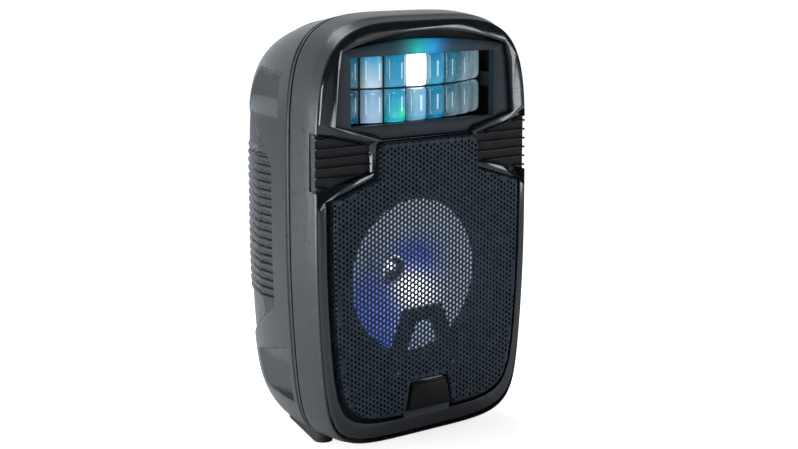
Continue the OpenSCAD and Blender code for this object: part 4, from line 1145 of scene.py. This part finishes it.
def lens(column, row):
    """Pillow lens with crowned front, rounded edges and flat back."""
    across, up = 14, 20
    half_w, half_h = LENS_W / 2, LENS_H / 2
    u = np.sin(np.linspace(-math.pi / 2, math.pi / 2, across + 1))
    v = np.sin(np.linspace(-math.pi / 2, math.pi / 2, up + 1))
    grid_u, grid_v = np.meshgrid(u, v)
    crown = (1 - grid_u ** 4) ** 0.5 * (1 - grid_v ** 6) ** 0.5
    front_d = LENS_T - 2.5 - crown * 4.2 - (1 - grid_u ** 2) * 1.6
    flat_x, flat_z = grid_u * half_w, grid_v * half_h
    local = np.stack([flat_x, front_d, flat_z], 2).reshape(-1, 3)
    count = across + 1
    faces = [(r * count + i, r * count + i + 1, (r + 1) * count + i + 1, (r + 1) * count + i)
             for r in range(up) for i in range(across)]
    border = (list(range(count)) + [r * count + across for r in range(1, up + 1)]
              + [up * count + i for i in range(across - 1, -1, -1)]
              + [r * count for r in range(up - 1, 0, -1)])
    start = len(local)
    back = local[border].copy()
    back[:, 1] = LENS_T
    local = np.concatenate([local, back])
    n = len(border)
    faces += [(border[i], start + i, start + (i + 1) % n, border[(i + 1) % n]) for i in range(n)]
    faces.append(tuple(range(start, start + n)))
    turn = math.radians((column - 4) * LENS_STEP)
    inward = local[:, 1] - LENS_CURVE_R
    x = local[:, 0] * math.cos(turn) - inward * math.sin(turn)
    d = LENS_FRONT_D + LENS_CURVE_R + local[:, 0] * math.sin(turn) + inward * math.cos(turn)
    z = WINDOW_Z + (row - 0.5) * ROW_PITCH + local[:, 2]
    obj = make_object(f"lens_{column}_{row}", np.stack([x, d, z], 1), faces, LENS, smooth=50)
    paint_lens(obj, local, column, row)
    return obj


def paint_lens(obj, local, column, row):
    """Stores the lens's painted glow as a colour on the mesh."""
    upper = row == 1
    top_color, low_color = LENS_PAINTED_GLOW[column][0 if upper else 2], LENS_PAINTED_GLOW[column][1 if upper else 3]
    share = np.clip(local[:, 2] / LENS_H + 0.5, 0, 1)[:, None]
    color = np.array(low_color) * (1 - share) + np.array(top_color) * share
    across = local[:, 0] / (LENS_W / 2)
    # Painted shade: the glow dims towards the lens's sides.
    color = color * (1 - 1.3 * np.clip(np.abs(across) - 0.55, 0, 1))[:, None]
    # Painted green light low on one lens.
    if column == 3 and not upper:
        green = np.exp(-((local[:, 0] - 4) ** 2 + (local[:, 2] + 7) ** 2) / 18)
        color = color * (1 - 0.7 * green[:, None]) + green[:, None] * np.array([0.0, 0.75, 0.12])
    layer = obj.data.color_attributes.new("glow", "FLOAT_COLOR", "POINT")
    flat = np.concatenate([color, np.ones((len(color), 1))], 1)
    layer.data.foreach_set("color", flat.astype(np.float32).ravel())


def build_lenses():
    pieces = [lens(column, row) for column in range(9) for row in range(2)]
    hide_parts("lenses")


# ---- Rear panel print ----

def flat_strip(points, faces, centre_line, width, d, lift):
    """Appends a thin raised strip along a line of (x, z) points on the rear panel."""
    line = np.asarray(centre_line, float)
    step = np.gradient(line, axis=0)
    step /= np.linalg.norm(step, axis=1, keepdims=True)
    side = np.stack([-step[:, 1], step[:, 0]], 1) * width / 2
    start = len(points)
    for p, s in zip(line, side):
        for sign, depth in ((-1, d), (1, d), (1, d + lift), (-1, d + lift)):
            q = p + s * sign
            points.append([q[0], depth, q[1]])
    n = len(line)
    for i in range(n - 1):
        a, b = start + 4 * i, start + 4 * (i + 1)
        for k in range(4):
            m = (k + 1) % 4
            faces.append((a + k, a + m, b + m, b + k))
    faces.append((start, start + 3, start + 2, start + 1))
    last = start + 4 * (n - 1)
    faces.append((last, last + 1, last + 2, last + 3))


def dial_marks(points, faces, place, radius):
    """Tick marks round a knob."""
    for i in range(11):
        turn = math.radians(90 - 140 + 28 * i)
        inner, outer = radius + 2.2, radius + (4.4 if i % 5 == 0 else 3.5)
        direction = np.array([math.cos(turn), math.sin(turn)])
        flat_strip(points, faces, [np.array(place) + direction * inner, np.array(place) + direction * outer],
                   0.5, PANEL_FACE_D, PRINT_LIFT)


def knob_places():
    row, small = PANEL_Z + 8, PANEL_Z - 18
    return (((0, row), 13), ((-32, row + 4), 8), ((32, row + 4), 8), ((-32, small), 8), ((32, small), 8))


def triangle(points, faces, x, z, size, direction):
    """Small solid arrow head, one of the usual transport signs."""
    start = len(points)
    corners = [(x - direction * size / 2, z - size * 0.6), (x - direction * size / 2, z + size * 0.6),
               (x + direction * size / 2, z)]
    for depth in (PANEL_FACE_D, PANEL_FACE_D + PRINT_LIFT):
        points.extend([cx, depth, cz] for cx, cz in corners)
    faces.append((start, start + 1, start + 2))
    faces.append((start + 5, start + 4, start + 3))
    for i in range(3):
        j = (i + 1) % 3
        faces.append((start + i, start + 3 + i, start + 3 + j, start + j))


def panel_print():
    """Ticks round the knobs, transport signs over the buttons and frames round the groups of sockets."""
    points, faces = [], []
    for place, radius in knob_places():
        dial_marks(points, faces, place, radius)
    button_z, button_step = PANEL_Z + 38, 17
    sign_z = button_z + 8.2
    # Double arrows over the outer buttons of the middle three, one arrow over the middle button.
    for x, size, direction in ((-button_step - 1.2, 2.2, -1), (-button_step + 1.2, 2.2, -1), (0, 2.6, 1),
                               (button_step - 1.2, 2.2, 1), (button_step + 1.2, 2.2, 1)):
        triangle(points, faces, x, sign_z, size, direction)
    ring_turns = np.linspace(0, 2 * math.pi, 25)
    for x in (-2 * button_step, 2 * button_step):
        circle = np.stack([x + 1.6 * np.cos(ring_turns), sign_z + 1.6 * np.sin(ring_turns)], 1)
        flat_strip(points, faces, circle, 0.45, PANEL_FACE_D, PRINT_LIFT)
    for low, high in ((PANEL_Z - 56, PANEL_Z - 35), (PANEL_Z - 90, PANEL_Z - 57.5)):
        frame_line = rounded_frame(-45, 45, low, high, 3)
        flat_strip(points, faces, frame_line, 0.5, PANEL_FACE_D, PRINT_LIFT)
    make_object("panel_print", points, faces, INK, smooth=30)


def rounded_frame(left, right, low, high, radius):
    """Closed rounded rectangle as a line of points."""
    line = []
    for cx, cz, start in ((right - radius, high - radius, 0), (left + radius, high - radius, 90),
                          (left + radius, low + radius, 180), (right - radius, low + radius, 270)):
        for i in range(7):
            turn = math.radians(start + 15 * i)
            line.append((cx + radius * math.cos(turn), cz + radius * math.sin(turn)))
    line.append(line[0])
    return line


def display_digits():
    """Four seven-segment digits in the rear display, all zero."""
    points, faces = [], []
    d = box_mm("display_window")[1].y - RIM_Y
    z0 = PANEL_Z + 76
    height, width, lift = 5.2, 5.0, 0.08
    for x in (-15.5, -6.5, 6.5, 15.5):
        for side in (-1, 1):
            for half in (-1, 1):
                flat_strip(points, faces, [(x + side * width / 2, z0 + half * 0.5),
                                           (x + side * width / 2, z0 + half * (height - 0.4))], 0.9, d, lift)
        for half in (-1, 1):
            flat_strip(points, faces, [(x - width / 2 + 0.8, z0 + half * height),
                                       (x + width / 2 - 0.8, z0 + half * height)], 0.9, d, lift)
    for z in (-2, 2):
        flat_strip(points, faces, [(-0.5, z0 + z), (0.5, z0 + z)], 1.0, d, lift)
    make_object("display_digits", points, faces, SEGMENT, smooth=30)


# ---- Stage, lights and camera ----

def stage():
    mesh = bpy.data.meshes.new("floor")
    half = 6.0
    corners = [(-half, -half, 0), (half, -half, 0), (half, half, 0), (-half, half, 0)]
    mesh.from_pydata(corners, [], [(0, 1, 2, 3)])
    floor = add_to_scene("floor", mesh)
    mesh.materials.append(floor_material())


def area_light(name, place, aim, size, power, color):
    data = bpy.data.lights.new(name, "AREA")
    data.shape = "RECTANGLE"
    data.size, data.size_y = size
    data.energy = power
    data.color = color
    obj = add_to_scene(name, data)
    obj.location = place
    obj.rotation_euler = (Vector(aim) - Vector(place)).to_track_quat("-Z", "Y").to_euler()


def studio():
    """White to the camera; for the object bright at the left and behind, dim in front and at the right."""
    world = bpy.data.worlds.new("studio")
    bpy.context.scene.world = world
    world.use_nodes = True
    tree = world.node_tree
    background = tree.nodes["Background"]
    join = tree.links.new
    place = tree.nodes.new("ShaderNodeTexCoord")
    toward = tree.nodes.new("ShaderNodeVectorMath")
    toward.operation = "DOT_PRODUCT"
    toward.inputs[1].default_value = Vector((-0.42, 0.9, -0.1)).normalized()
    join(place.outputs["Generated"], toward.inputs[0])
    level = tree.nodes.new("ShaderNodeMapRange")
    level.interpolation_type = "SMOOTHSTEP"
    for key, number in {"From Min": -0.2, "From Max": 0.6, "To Min": 0.04, "To Max": 0.95}.items():
        level.inputs[key].default_value = number
    join(toward.outputs["Value"], level.inputs["Value"])
    # What the camera sees itself is plain white.
    camera_ray = tree.nodes.new("ShaderNodeLightPath").outputs["Is Camera Ray"]
    mix = tree.nodes.new("ShaderNodeMix")
    mix.data_type = "FLOAT"
    mix.inputs[3].default_value = 1.0
    join(level.outputs["Result"], mix.inputs[2])
    join(camera_ray, mix.inputs[0])
    join(mix.outputs[0], background.inputs["Strength"])
    tint = tree.nodes.new("ShaderNodeMix")
    tint.data_type = "RGBA"
    tint.inputs[6].default_value = (0.86, 0.94, 1.0, 1)
    tint.inputs[7].default_value = (1, 1, 1, 1)
    join(camera_ray, tint.inputs[0])
    join(tint.outputs[2], background.inputs["Color"])
    middle = (0, 0, 0.2)
    area_light("left_strip", (-2.1, -1.55, 0.4), middle, (0.3, 1.2), 10, (0.93, 0.97, 1.0))
    area_light("top_box", (-0.3, 0.5, 2.2), middle, (1.6, 1.0), 26, (0.93, 0.97, 1.0))
    area_light("front_box", (0.0, -2.3, 1.55), middle, (0.8, 0.6), 5, (0.9, 0.96, 1.0))
    area_light("low_box", (1.7, -1.9, 0.12), middle, (0.5, 0.3), 2.5, (0.9, 0.96, 1.0))
    area_light("low_rear", (-1.5, 0.5, 0.06), middle, (0.9, 0.4), 34, (0.97, 0.99, 1.0))


def camera():
    azimuth, elevation = math.radians(-37.8), math.radians(10.7)
    back = Vector((math.sin(azimuth) * math.cos(elevation), -math.cos(azimuth) * math.cos(elevation),
                   math.sin(elevation)))
    data = bpy.data.cameras.new("camera")
    data.lens = 69.47
    data.sensor_width = 36
    obj = add_to_scene("camera", data)
    target = Vector((0.0105, -0.0492, 0.1989))
    obj.location = target + back * 1.487
    obj.rotation_euler = (-back).to_track_quat("-Z", "Y").to_euler()
    bpy.context.scene.camera = obj


def picture():
    settings = bpy.context.scene.view_settings
    settings.view_transform = "Standard"
    settings.look = "None"


dress_cad_nodes()
rear_shell()
handle_pocket()
carry_handle()
build_front()
louvre(-1)
louvre(1)
grille()
build_lenses()
panel_print()
display_digits()
stage()
studio()
camera()
picture()
